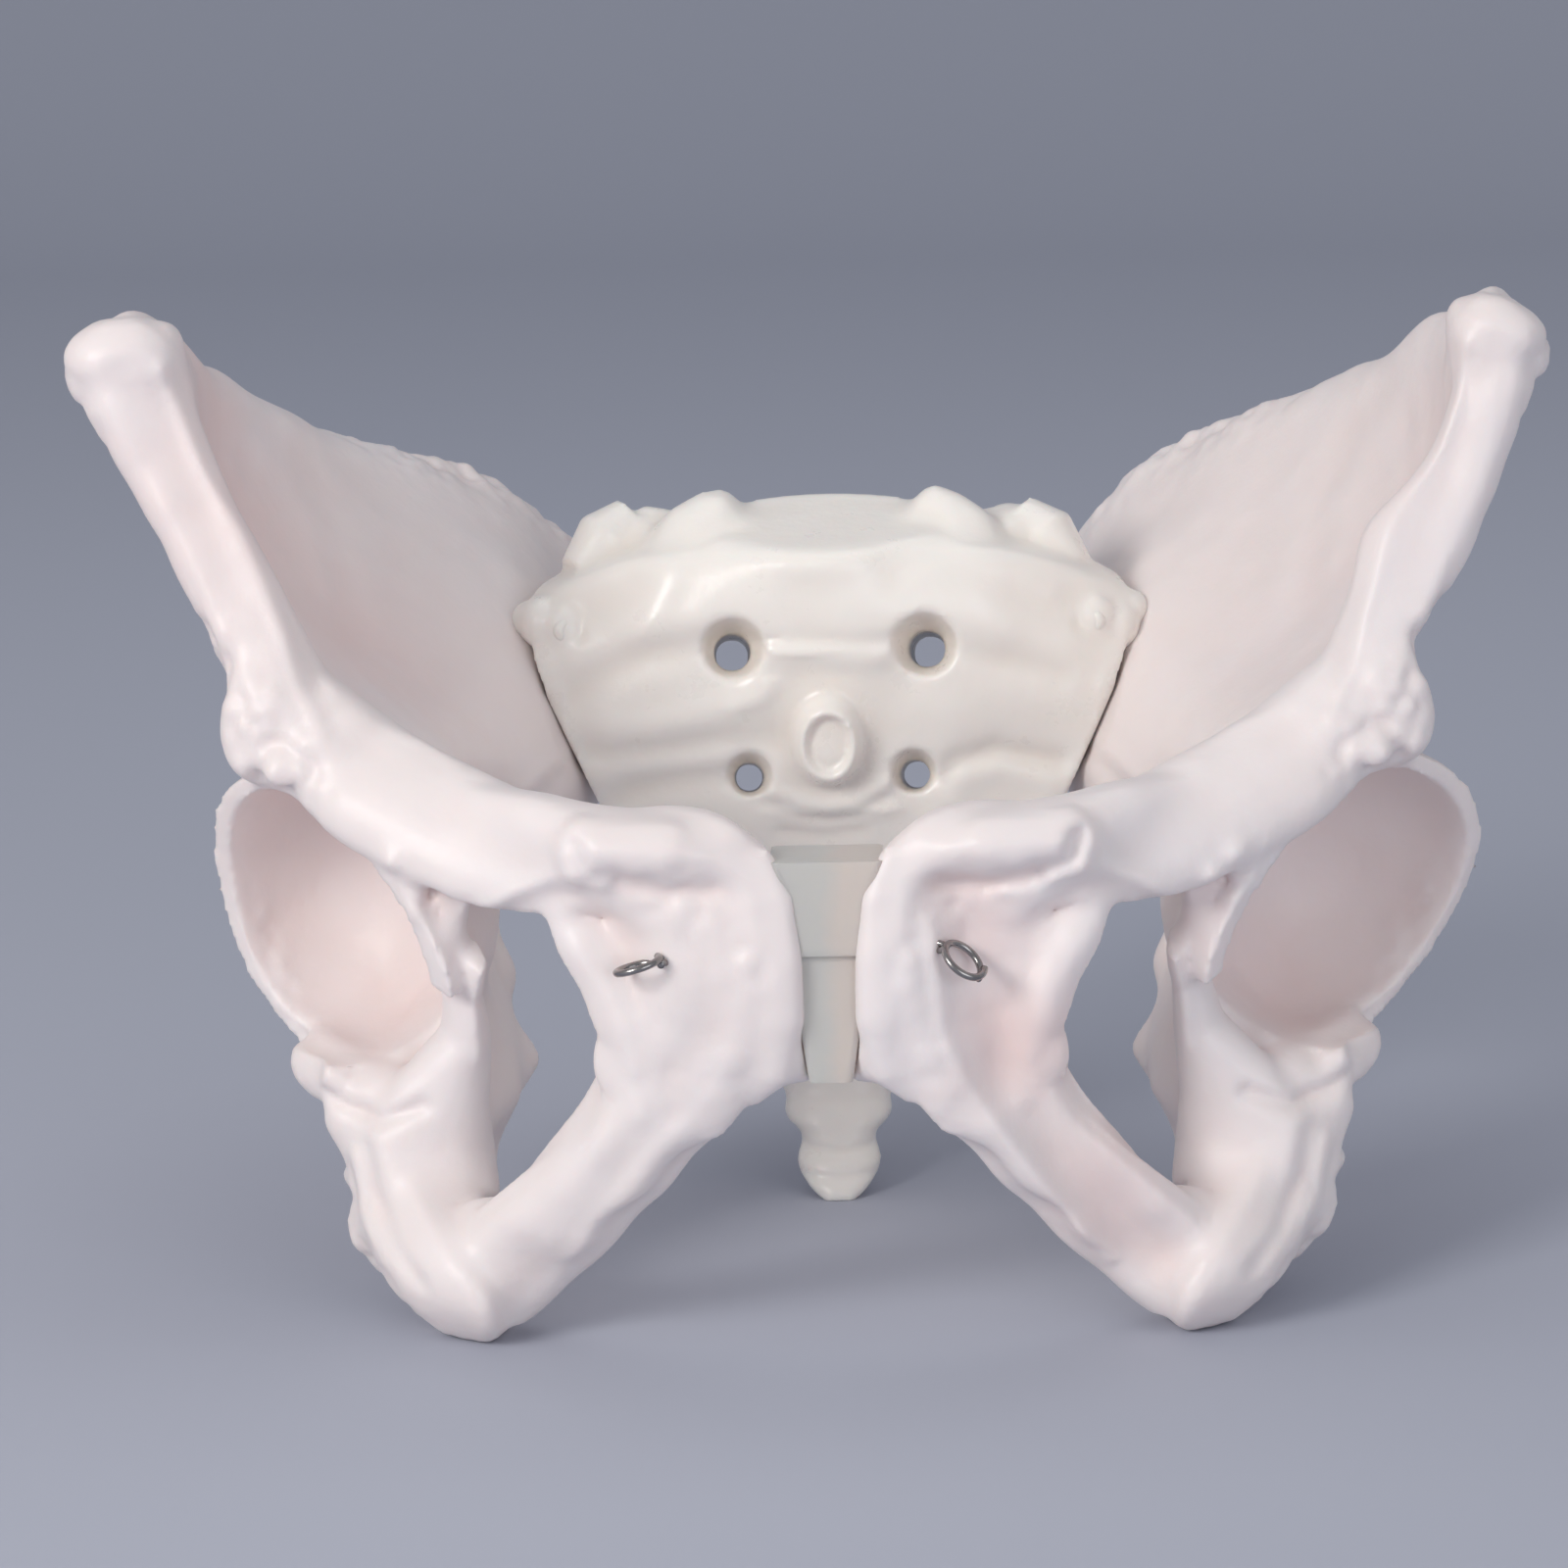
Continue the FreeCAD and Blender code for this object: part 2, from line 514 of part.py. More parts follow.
def make_sacral_mass():
    front = at("promontory")
    joint = at("joint")
    back = at("dorsal")
    end = at("sacrumend")
    tip = at("coccyxtip")
    side = joint.x
    deep = back.y
    # heights from the top of the wings to the last sacral segment
    loops = [
        sacral_section(front.z + 1, 0.5 * side, front.y + 4, joint.y + 4, deep - 16, deep - 8),
        sacral_section(front.z - 3, 0.8 * side, front.y + 2, joint.y + 4, deep - 14, deep - 5),
        sacral_section(joint.z + 14, 1.1 * side, front.y + 1, joint.y + 9, deep - 12, deep - 3),
        sacral_section(joint.z + 4, 1.22 * side, front.y + 2, joint.y + 6, deep - 13, deep - 4),
        sacral_section(joint.z - 8, 1.12 * side, front.y + 3.5, joint.y + 2, deep - 18, deep - 9),
        sacral_section(joint.z - 20, 0.88 * side, front.y + 5, joint.y - 1, deep - 24, deep - 14),
        sacral_section(joint.z - 32, 0.68 * side, front.y + 7, joint.y - 2, deep - 28, deep - 18),
        sacral_section(joint.z - 46, 0.53 * side, end.y + 7, end.y + 5, deep - 32, deep - 24),
        sacral_section(end.z + 9, 0.36 * side, end.y + 4, end.y + 3, end.y + 17, end.y + 20),
        sacral_section(end.z, 0.22 * side, end.y, end.y + 1, end.y + 11, end.y + 13),
    ]
    beyond = joint_region(-size("joint_gap") / 2, size("cut_reach"))
    bone = solid(skin(loops).cut(beyond))
    bone = solid(bone.cut(beyond.mirror(Vector(0, 0, 0), Vector(1, 0, 0))))
    tilt = math.radians(size("body_tilt"))
    wide = size("body_width")
    depth = size("body_depth")
    backwards = Vector(0, math.cos(tilt), math.sin(tilt))
    sideways = Vector(1, 0, 0)
    middle = front + backwards * (depth / 2)
    upwards = Vector(0, -math.sin(tilt), math.cos(tilt))
    body = skin([ring(middle - upwards * 16, sideways, backwards, 0.86 * wide, 0.8 * depth, 2.1),
                 ring(middle - upwards * 7, sideways, backwards, 0.92 * wide, 0.92 * depth, 2.1),
                 ring(middle - upwards * 1.2, sideways, backwards, wide, depth, 2.1),
                 ring(middle, sideways, backwards, 0.95 * wide, 0.95 * depth, 2.1)])
    # coccyx: bulging segments with a crease between them
    root = size("coccyx_width") / 2
    rise = end.z - tip.z
    line = end + Vector(0, 6, 0)
    foot = tip + Vector(0, 0, 0)
    profile = [(1.15, 0.9, 8), (0.95, 1.0, 7.5), (0.82, 1.0, 7), (0.72, 0.66, 5.8), (0.6, 0.82, 6), (0.48, 0.76, 5.8),
               (0.4, 0.56, 5), (0.26, 0.64, 5), (0.12, 0.54, 4.4), (0, 0.26, 2.6)]
    loops = []
    for share, half, thick in profile:
        centre = Vector(0, foot.y + (line.y - foot.y) * share ** 0.8, foot.z + rise * share)
        loops.append(ring(centre, sideways, Vector(0, 1, 0), 2 * root * half, 2 * thick, 2.2))
    tail = skin(loops)
    parts = [body, tail]
    knob = at("knob")
    parts.append(blob(knob, size("knob_width"), 2 * size("knob_rise") + 1, size("knob_height")))
    for height, depth_in in ((joint.z + 9, front.y + 2.6), (joint.z - 22, front.y + 6.5)):
        parts.append(blob(Vector(0, depth_in, height), 34, 4.5, 4))
    for height, out in ((joint.z + 12, -1), (joint.z - 8, -5), (joint.z - 27, -13), (joint.z - 43, -22)):
        parts.append(blob(Vector(0, deep + out, height), 8, 12, 15))
    for mark in (1, -1):
        parts.append(blob(Vector(mark * 0.38 * side, deep - 31, front.z + 1), 11, 15, 17))
        parts.append(blob(Vector(mark * 0.64 * side, deep - 24, front.z - 1), 12, 22, 11))
    return solid(bone.multiFuse(parts))


def make_sacrum(bone):
    front = at("promontory")
    joint = at("joint")
    deep = at("dorsal").y
    knob = at("knob")
    sideways = Vector(1, 0, 0)
    # holes: four pairs, running back and a little down
    first = at("holefirst")
    last = at("holelast")
    fall = math.radians(size("hole_drop"))
    cuts = []
    for step in range(4):
        share = (step / 3) ** 0.8
        mouth = between(first, last, share)
        bore = between(Vector(size("hole_first"), 0, 0), Vector(size("hole_last"), 0, 0), share).x / 2
        for mark in (1, -1):
            along = unit(Vector(mark * 0.03, math.cos(fall), -math.sin(fall)))
            start = Vector(mark * mouth.x, mouth.y, mouth.z) - along * 6
            cuts.append(Part.makeCylinder(bore, size("cut_reach") / 2, start, along))
            cuts.append(Part.makeCone(2 * bore, bore, 9, start + along * 2.5, along))
    # the canal, open at the top and at the last segments
    wide = size("canal_width")
    thick = size("canal_depth")
    behind = deep - 10
    canal = [(front.z + 20, -5, 1, 1), (front.z - 4, -5, 1, 1), (joint.z - 8, -9, 0.8, 0.8),
             (joint.z - 32, -18, 0.66, 0.6), (joint.z - 52, -27, 0.55, 0.55)]
    cuts.append(skin([ring(Vector(0, behind + out, height), sideways, Vector(0, 1, 0),
                           share * wide, flat * thick, 2) for height, out, share, flat in canal]))
    cuts.append(blob(knob - Vector(0, size("knob_rise") + 0.5, 0), 0.62 * size("knob_width"), 4.5,
                     0.55 * size("knob_height")))
    for mark in (1, -1):
        cuts.append(across_joint(mark, size("pin_thick") + size("bore_clear"), 0, size("pin_length")))
        cuts.append(across_joint(mark, size("plug_width"), -30, 30))
    return solid(bone.cut(cuts))


# Round bar along the pin's line, on the left or the right, from the pin's head or ahead of it.
def across_joint(mark, width, ahead, length):
    axis = Vector(mark * pin_axis().x, pin_axis().y, 0)
    start = Vector(mark * pin_start().x, pin_start().y, pin_start().z)
    return Part.makeCylinder(width / 2, length, start + axis * ahead, axis)


# Plug over the pin's head: it fills its hole up to the front of the sacrum and stands a little proud.
def make_plug(mark, bone):
    axis = Vector(mark * pin_axis().x, pin_axis().y, 0)
    start = Vector(mark * pin_start().x, pin_start().y, pin_start().z)
    inside = Part.makeLine(start - axis * 20, start).common(bone)
    depth = max((start - corner.Point).Length for corner in inside.Vertexes)
    long = depth + size("plug_rise")
    radius = size("plug_width") / 2
    stem = Part.makeCylinder(radius, long, start - axis * long, axis)
    rims = [edge for edge in stem.Edges if edge.isClosed()]
    front_rim = min(rims, key=lambda edge: edge.CenterOfMass.y)
    return stem.makeFillet(0.45 * radius, [front_rim])


# Soft disc: a wedge between the two faces, its upper half a little deeper than its lower half.
def make_disc():
    face = at("symphysis")
    tall = size("pubis_height")
    lean = size("symphysis_taper") / 2
    inner = face.x - 5
    top = face.z + tall / 2 - 6
    low = face.z - tall / 2 + 5
    slope = 2 * lean / (top - low)
    step = between(Vector(0, 0, low), Vector(0, 0, top), size("disc_step")).z
    deep = size("disc_depth")

    def half(height):
        return inner + lean + slope * (height - top) - size("disc_gap")

    def wedge(bottom, head, depth):
        corners = [Vector(-half(bottom), 0, bottom), Vector(half(bottom), 0, bottom),
                   Vector(half(head), 0, head), Vector(-half(head), 0, head)]
        face_loop = Part.makePolygon(corners + corners[:1])
        block = Part.Face(face_loop).extrude(Vector(0, depth, 0))
        block.translate(Vector(0, face.y + 0.5 - depth / 2, 0))
        edges = [edge for edge in block.Edges if abs(edge.BoundBox.YLength) < 0.01 and edge.BoundBox.ZLength > 5]
        return block.makeFillet(1.2, edges)

    upper = wedge(step, top + size("disc_rise"), deep)
    lower = wedge(low - size("disc_rise"), step, deep - size("disc_setback"))
    disc = upper.fuse(lower).cut(wire_bore())
    return solid(disc.removeSplitter())


def bound(kind, name, rules):
    piece = doc.addObject(kind, name)
    for path, rule in rules.items():
        piece.setExpression(path, rule)
    return piece


sized = "<<Sizes>>."
sheet.Label = "Sizes"

hip_left = doc.addObject("Part::Feature", "HipBoneLeft")
hip_left.Shape = make_hip()
hip_left.Label = "hip_bone_left"

hip_right = doc.addObject("Part::Mirroring", "HipBoneRight")
hip_right.Source = hip_left
hip_right.Normal = Vector(1, 0, 0)
hip_right.Base = Vector(0, 0, 0)
hip_right.Label = "hip_bone_right"

sacrum = doc.addObject("Part::Feature", "Sacrum")
mass = make_sacral_mass()
sacrum.Shape = make_sacrum(mass)
sacrum.Label = "sacrum"

disc = doc.addObject("Part::Feature", "SymphysisDisc")
disc.Shape = make_disc()
disc.Label = "symphysis_disc"

# Tie wire: a straight run through both pubic bones, with a round eye at each end.
wire_place = {
    "Placement.Base.y": sized + "symphysis_y - " + sized + "middle_depth - " + sized + "wire_front",
    "Placement.Base.z": sized + "wire_height",
}
run = bound("Part::Cylinder", "WireRun", dict(wire_place, **{
    "Radius": sized + "wire_thick / 2",
    "Height": sized + "wire_left + " + sized + "wire_right",
    "Placement.Base.x": "-" + sized + "wire_right",
}))
run.Placement = FreeCAD.Placement(Vector(0, 0, 0), FreeCAD.Rotation(Vector(0, 1, 0), 90))
eyes = []
for name, end, mark, tilt in (("EyeRight", "wire_right", "-", 14), ("EyeLeft", "wire_left", "", 62)):
    middle_radius = "(" + sized + "eye_width - " + sized + "wire_thick) / 2"
    forward = 0.8 * math.cos(math.radians(tilt))
    lower = 0.8 * math.sin(math.radians(tilt))
    eye = bound("Part::Torus", name, {
        "Radius1": middle_radius,
        "Radius2": sized + "wire_thick / 2",
        "Placement.Base.x": mark + "(" + sized + end + " + 0.6 * " + middle_radius + ")",
        "Placement.Base.y": wire_place["Placement.Base.y"] + " - %.4f * " % forward + middle_radius,
        "Placement.Base.z": sized + "wire_height - %.4f * " % lower + middle_radius,
    })
    eye.Placement = FreeCAD.Placement(Vector(0, 0, 0), FreeCAD.Rotation(Vector(1, 0, 0), tilt))
    eyes.append(eye)
wire = doc.addObject("Part::MultiFuse", "TieWire")
wire.Shapes = [run] + eyes
wire.Label = "tie_wire"

# Pins across the two sacroiliac joints, each with a plug over its head.
pins = []
for mark, name in ((1, "left"), (-1, "right")):
    axis = Vector(mark * pin_axis().x, pin_axis().y, 0)
    start = Vector(mark * pin_start().x, pin_start().y, pin_start().z)
    turn = FreeCAD.Rotation(Vector(0, 0, 1), axis)
    pin = bound("Part::Cylinder", "Pin" + name.title(), {
        "Radius": sized + "pin_thick / 2",
        "Height": sized + "pin_length",
    })
    pin.Placement = FreeCAD.Placement(start, turn)
    pin.Label = "sacroiliac_pin_" + name
    pins.append(pin)

plugs = []
for mark, name in ((1, "left"), (-1, "right")):
    plug = doc.addObject("Part::Feature", "Plug" + name.title())
    plug.Shape = make_plug(mark, mass)
    plug.Label = "pin_plug_" + name
    plugs.append(plug)

doc.recompute()
nodes = [hip_left, hip_right, sacrum, disc, wire] + pins + plugs
for piece in doc.Objects:
    if "Invalid" in piece.State or "Error" in piece.State:
        raise RuntimeError("failed: " + piece.Name)
for piece in nodes:
    shape = piece.Shape
    if shape.isNull() or not shape.isValid() or len(shape.Solids) != 1:
        raise RuntimeError("no sound shape: " + piece.Label)
    print(piece.Label, "volume", round(shape.Volume / 1000, 2), shape.BoundBox)

os.makedirs("parts", exist_ok=True)
for piece in nodes:
    piece.Shape.exportStep("parts/" + piece.Label + ".step")
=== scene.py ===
import math
import bmesh
import bpy
import numpy as np
from mathutils import Matrix, Vector


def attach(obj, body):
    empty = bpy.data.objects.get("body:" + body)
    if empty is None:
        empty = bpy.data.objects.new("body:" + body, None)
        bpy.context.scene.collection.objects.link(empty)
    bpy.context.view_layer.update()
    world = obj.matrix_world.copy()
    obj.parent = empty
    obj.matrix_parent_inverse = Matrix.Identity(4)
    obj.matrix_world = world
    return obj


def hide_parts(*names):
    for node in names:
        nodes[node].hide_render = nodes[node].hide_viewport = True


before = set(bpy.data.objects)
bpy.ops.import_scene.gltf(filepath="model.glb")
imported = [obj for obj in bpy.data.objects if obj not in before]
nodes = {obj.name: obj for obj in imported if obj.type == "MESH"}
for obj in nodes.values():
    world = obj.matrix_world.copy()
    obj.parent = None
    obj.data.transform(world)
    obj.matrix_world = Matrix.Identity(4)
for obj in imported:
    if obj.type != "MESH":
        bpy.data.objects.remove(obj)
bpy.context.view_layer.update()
print("frame loaded")

# Shapes are worked out in millimetres, in the frame's axes, and go into the meshes in metres.
mm = 0.001


class Skin:
    # One closed surface: its points in millimetres, its four-sided faces, and the pairs of points
    # that share an edge, so that a whole round of smoothing is one sum over those pairs.
    def __init__(self, points, quads):
        self.points = points
        self.quads = quads
        ends = np.concatenate([quads[:, [k, (k + 1) % 4]] for k in range(4)])
        ends.sort(axis=1)
        ends = np.unique(ends, axis=0)
        self.one, self.other = ends[:, 0], ends[:, 1]
        self.near = np.bincount(ends.ravel(), minlength=len(points))

    def mean(self, values):
        # The mean of each point's neighbours, column by column.
        size = len(self.points)
        columns = values.reshape(size, -1).T
        total = [np.bincount(self.one, c[self.other], size) + np.bincount(self.other, c[self.one], size)
                 for c in columns]
        return (np.array(total) / self.near).T.reshape(values.shape)

    def normals(self):
        # The cross product of each face's diagonals, added up at its four corners and made unit long.
        p, q = self.points, self.quads
        across = np.cross(p[q[:, 2]] - p[q[:, 0]], p[q[:, 3]] - p[q[:, 1]])
        corners = q.ravel()
        weights = np.repeat(across, 4, axis=0)
        total = np.array([np.bincount(corners, weights[:, k], len(p)) for k in range(3)]).T
        return total / (np.linalg.norm(total, axis=1, keepdims=True) + 1e-9)

    def spread(self, values, rounds, share=0.5):
        # Each round moves every value part of the way to the mean of its neighbours.
        for _ in range(rounds):
            values = values + share * (self.mean(values) - values)
        return values

    def fillCreases(self, rounds, where=1.0, share=0.6, every=5):
        # Points move along their normal towards their neighbours' mean, but only outwards, so
        # creases fill to a soft fillet while edges and round parts stay as they are. The normals
        # are worked out again every few rounds.
        for count in range(rounds):
            if count % every == 0:
                normal = self.normals()
            lift = np.einsum("ij,ij->i", self.mean(self.points) - self.points, normal)
            self.points = self.points + (share * where * np.clip(lift, 0, None))[:, None] * normal

    def soften(self, rounds, forth=0.5, back=0.52):
        # Plain smoothing of the places, then a slightly stronger step back, so nothing shrinks.
        for _ in range(rounds):
            self.points = self.spread(self.points, 1, forth)
            self.points = self.spread(self.points, 1, -back)

    def standUp(self):
        # What dips below the ground is lifted onto it.
        self.points[:, 2] = np.maximum(self.points[:, 2], 0)


def skinOf(meshes, voxel):
    # The meshes together, wrapped in one even skin of four-sided faces of about that size.
    joined = bmesh.new()
    for mesh in meshes:
        joined.from_mesh(mesh)
    bmesh.ops.remove_doubles(joined, verts=joined.verts, dist=1e-6)
    mesh = bpy.data.meshes.new("blank")
    joined.to_mesh(mesh)
    joined.free()
    blank = addObject("blank", mesh)
    wrap = blank.modifiers.new("wrap", "REMESH")
    wrap.mode = "VOXEL"
    wrap.voxel_size = voxel * mm
    wrapped = bpy.data.meshes.new_from_object(blank.evaluated_get(bpy.context.evaluated_depsgraph_get()))
    points = np.zeros(len(wrapped.vertices) * 3)
    wrapped.vertices.foreach_get("co", points)
    quads = np.zeros(len(wrapped.loops), int)
    wrapped.loops.foreach_get("vertex_index", quads)
    bpy.data.objects.remove(blank)
    return Skin(points.reshape(-1, 3) / mm, quads.reshape(-1, 4))


def meshFrom(name, points, faces):
    mesh = bpy.data.meshes.new(name)
    mesh.from_pydata((points * mm).tolist(), [], faces if isinstance(faces, list) else faces.tolist())
    mesh.polygons.foreach_set("use_smooth", np.ones(len(mesh.polygons), bool))
    mesh.update()
    return mesh


def addObject(name, data):
    made = bpy.data.objects.new(name, data)
    bpy.context.scene.collection.objects.link(made)
    return made


def piece(name, mesh, finish, node):
    made = addObject(name, mesh)
    mesh.materials.append(finish)
    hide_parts(node)
    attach(made, "root")


def rod(path, wide, high, upward, sides=20):
    # An ellipse carried along a path of points: its half width lies across the path, its half
    # height along the upward direction, and both ends are closed flat.
    path = np.asarray(path, float)
    along = np.gradient(path, axis=0)
    along /= np.linalg.norm(along, axis=1, keepdims=True)
    side = np.cross(along, np.broadcast_to(upward, along.shape))
    side /= np.linalg.norm(side, axis=1, keepdims=True)
    top = np.cross(side, along)
    turn = np.linspace(0, 2 * math.pi, sides, endpoint=False)
    wide = np.broadcast_to(wide, len(path))[:, None, None]
    high = np.broadcast_to(high, len(path))[:, None, None]
    rings = (path[:, None] + wide * np.cos(turn)[None, :, None] * side[:, None]
             + high * np.sin(turn)[None, :, None] * top[:, None])
    return closedRings(rings)


def closedRings(rings):
    # Rings of points joined one to the next by quads; the first and last ring close on their middle.
    # The faces come back as a list of corner numbers.
    count, sides = rings.shape[:2]
    ends = np.stack([rings[0].mean(0), rings[-1].mean(0)])
    points = np.concatenate([rings.reshape(-1, 3), ends])
    step = np.arange(sides)
    after = (step + 1) % sides
    rows = np.arange(count - 1)[:, None] * sides
    walls = np.stack([rows + step, rows + after, rows + after + sides, rows + step + sides], -1)
    firstEnd = np.stack([np.full(sides, count * sides), after, step], -1)
    lastRow = (count - 1) * sides
    lastEnd = np.stack([np.full(sides, count * sides + 1), step + lastRow, after + lastRow], -1)
    return points, walls.reshape(-1, 4).tolist() + firstEnd.tolist() + lastEnd.tolist()


def capsule(start, end, startSize, endSize, sides=16):
    # A round rod with half balls for ends, whose radius goes evenly from one end's to the other's.
    start, end = np.asarray(start, float), np.asarray(end, float)
    way = (end - start) / np.linalg.norm(end - start)
    swing = np.linspace(-0.5 * math.pi, 0.5 * math.pi, 13)[1:-1]
    low, high = swing[swing < 0], swing[swing >= 0]
    reach = np.concatenate([startSize * np.sin(low), np.linalg.norm(end - start) + endSize * np.sin(high)])
    wide = np.concatenate([startSize * np.cos(low), endSize * np.cos(high)])
    aside = (0.31, 0.52, 0.79)  # any direction that no capsule points in
    across = np.cross(way, aside)
    across /= np.linalg.norm(across)
    return rod(start + reach[:, None] * way, wide, wide, across, sides)


def ball(centre, halves, rows=15, sides=24):
    # A ball stretched to three half sizes, as rings from its lower pole to its upper one.
    rise = np.linspace(-0.5 * math.pi, 0.5 * math.pi, rows)[1:-1, None]
    turn = np.linspace(0, 2 * math.pi, sides, endpoint=False)
    unit = np.stack([np.cos(rise) * np.cos(turn), np.cos(rise) * np.sin(turn),
                     np.sin(rise) * np.ones(sides)], -1)
    return closedRings(np.asarray(centre, float) + unit * np.asarray(halves, float))


def bellAlong(points, line, reach):
    # exp(-(d / reach)^2), where d is each point's distance from a line of straight runs.
    line = np.asarray(line, float)
    near = np.full(len(points), np.inf)
    for start, end in zip(line, line[1:]):
        run = end - start
        part = np.clip((points - start) @ run / (run @ run), 0, 1)
        near = np.minimum(np.linalg.norm(points - start - part[:, None] * run, axis=1), near)
    return np.exp(-(near / reach) ** 2)


def bellRound(points, place, reach):
    # exp(-(d / reach)^2), where d is each point's distance from a place.
    return np.exp(-((points - place) ** 2).sum(1) / reach ** 2)


def roughField(points, size, seed):
    # Random numbers on a cubic lattice of that spacing, blended between each cell's eight corners
    # with a smooth step: a soft uneven field between about -1 and 1. A corner's number comes from
    # its three counts, scattered by large whole numbers.
    place = points / size + 100.0
    cell = np.floor(place).astype(np.int64)
    part = place - cell
    part = part * part * (3 - 2 * part)
    total = np.zeros(len(points))
    for k in range(8):
        corner = np.array([k & 1, (k >> 1) & 1, k >> 2])
        x, y, z = (cell + corner).T
        mixed = (x * 73856093) ^ (y * 19349663) ^ (z * 83492791) ^ (seed * 2654435)
        mixed = ((mixed ^ (mixed >> 13)) * 1274126177) & 0x7fffffff
        weight = np.prod(np.where(corner, part, 1 - part), axis=1)
        total += weight * (mixed / 1073741824.0 - 1)
    return total


def pull(skin, pulls):
    # Each pull (place, reach, shift) moves the points near it by that shift, fading as a bell.
    for place, reach, shift in pulls:
        skin.points = skin.points + bellRound(skin.points, place, reach)[:, None] * np.asarray(shift, float)


def etch(skin, marks, steepness=2.2, spot=0.01):
    # Each mark (line, width, height) is seen from the front, as x and z. It lifts the surface
    # towards the viewer by a bell across its line, times the share of the surface that faces the
    # viewer: the normal's part to the front times the steepness, at most one. A lone point is a
    # line as short as a spot.
    flat = skin.points * (1, 0, 1)
    facing = np.clip(-steepness * skin.normals()[:, 1], 0, 1)
    lift = np.zeros(len(flat))
    for line, width, height in marks:
        line = [(x, 0, z) for x, z in line]
        if len(line) == 1:
            line.append((line[0][0] + spot, 0, line[0][2]))
        lift += height * bellAlong(flat, line, width)
    skin.points[:, 1] -= lift * facing


def hollowOf(skin, rounds=60, share=0.7, settle=4):
    # How deep a point lies below the smoothed surface round it, in millimetres: it sets where shade is
    # painted.
    smooth = skin.spread(skin.points, rounds, share)
    deep = np.einsum("ij,ij->i", smooth - skin.points, skin.normals())
    return skin.spread(deep, settle)


def strongest(points, places):
    # Bells round the places (place, reach, how much), the strongest one counting at each point.
    return np.max([much * bellRound(points, place, reach) for place, reach, much in places], axis=0)


def skinMesh(name, skin, warm=None):
    # The skin with two values at each point: how hollow it is, which sets where shade is painted, and how
    # rosy, which sets the rosy painted shade.
    mesh = meshFrom(name, skin.points, skin.quads)
    mesh.attributes.new("hollow", "FLOAT", "POINT").data.foreach_set("value", hollowOf(skin))
    if warm is not None:
        mesh.attributes.new("warm", "FLOAT", "POINT").data.foreach_set("value", warm)
    return mesh


# Hip bones. Both start from the left bone's solid, and the right one is mirrored at the end. Waves
# are rows of patch size, seed and height; the rough ones count only in hipZones, a little sunk.
hipValues = {
    "voxel": 0.95,
    "creaseRounds": 70,
    "meltRounds": 60,
    "meltShare": 0.5,
    "softRounds": 6,
    "waves": [(16, 3, 0.6), (7, 5, 0.26)],
    "roughWaves": [(4.6, 11, 1.1), (2.6, 17, 0.7)],
    "roughSunk": 0.1,
}


def hipLumps():
    # Swellings that join the bone's parts: balls, tapered capsules and flattened rods.
    facing = (0.30, -0.94, 0.16)
    return [
        ball((118.5, -38.5, 164), (10.5, 9.5, 7.2)),
        ball((112.5, -36, 165.5), (4.5, 7, 4.5)),
        ball((124, -37, 161.5), (5, 7, 6)),
        rod([(121, -38, 166), (117.5, -39.5, 158), (112, -41, 147), (106.5, -44, 136), (102, -46.5, 125),
             (97.5, -50, 113), (94.5, -52.5, 103), (91, -58, 95)],
            [5, 8.0, 7.4, 7.0, 7.2, 7.9, 7.6, 4], [5, 8.0, 7.0, 6.6, 6.8, 7.6, 7.8, 4], (0.0, 1.0, 0.0)),
        rod([(92, -50, 101), (84, -54, 97), (76, -59, 93.5), (67, -64.5, 89.5), (57, -70, 86),
             (47, -76, 84), (38, -82, 83.5)],
            [5, 9.5, 11.5, 12.0, 11.5, 10.2, 8.5], [4.5, 6, 6.5, 6.5, 6.5, 6.5, 6], (0.1, -0.72, 0.69)),
        capsule((38.5, -87, 88), (26, -88, 87.5), 6.6, 6.2),
        capsule((26, -88, 87.5), (14.5, -87.5, 83.5), 6.2, 5.0),
        capsule((63, -66, 80), (63.5, -62, 63), 4.4, 3.6),
        rod([(24, -86, 85), (24, -86, 77), (24.5, -86, 69), (25, -85.5, 61), (27, -85, 54)],
            [11, 14.5, 15, 12.5, 9], [3.4, 4.6, 4.6, 4.4, 3], facing),
        ball((80, -52, 34), (10, 6.5, 9)),
        ball((75, -55, 20), (11, 6.5, 14)),
        rod([(45, -82.5, 79), (41, -84, 72.5), (37.5, -85, 66), (34.5, -86, 58), (32, -86, 50)],
            [3, 4.5, 4.8, 4.6, 3], [2.6, 3, 3, 3, 2.5], facing),
        rod([(19, -86, 66), (21, -85.5, 56), (27, -83, 45), (35, -80.5, 35), (44, -77, 24), (52, -72, 14)],
            [9, 12, 12.5, 11, 10, 7], [3, 5, 5, 5, 5, 4], facing),
        rod([(11, -89, 88), (9.4, -90, 80), (8.6, -90.5, 70), (8.6, -90, 60), (10, -87.5, 51),
             (14, -86, 45)],
            [2, 4.4, 4.6, 4.8, 4.4, 2], [2, 3.2, 3.4, 3.6, 3.6, 2], facing),
        rod([(90.5, -34, 45), (88, -41, 42), (84, -48, 40), (79, -53.5, 39), (74, -56, 38)],
            [3, 4.4, 5.4, 5.4, 4], [2.5, 3.8, 4.4, 4.6, 4], (0, 0, 1)),
        rod([(60, -66, 68), (61.5, -60, 60), (62.5, -58, 50), (67, -58, 40), (70, -58, 30), (68, -62, 20)],
            [2.5, 3.5, 4.5, 8.5, 12, 11], [4, 5, 5.5, 6, 6, 6], (-0.25, -0.94, 0.1)),
        capsule((78, -53, 26), (68, -66, 10), 9.0, 8.5),
        ball((58, -69, 14), (9.5, 7, 10)),
        capsule((8, -87.2, 70), (24, -86.8, 70), 1.7, 1.7),
        ball((33.5, -84.5, 52), (6, 3.6, 8)),
        ball((30, -84.5, 44), (6, 4, 6)),
    ]


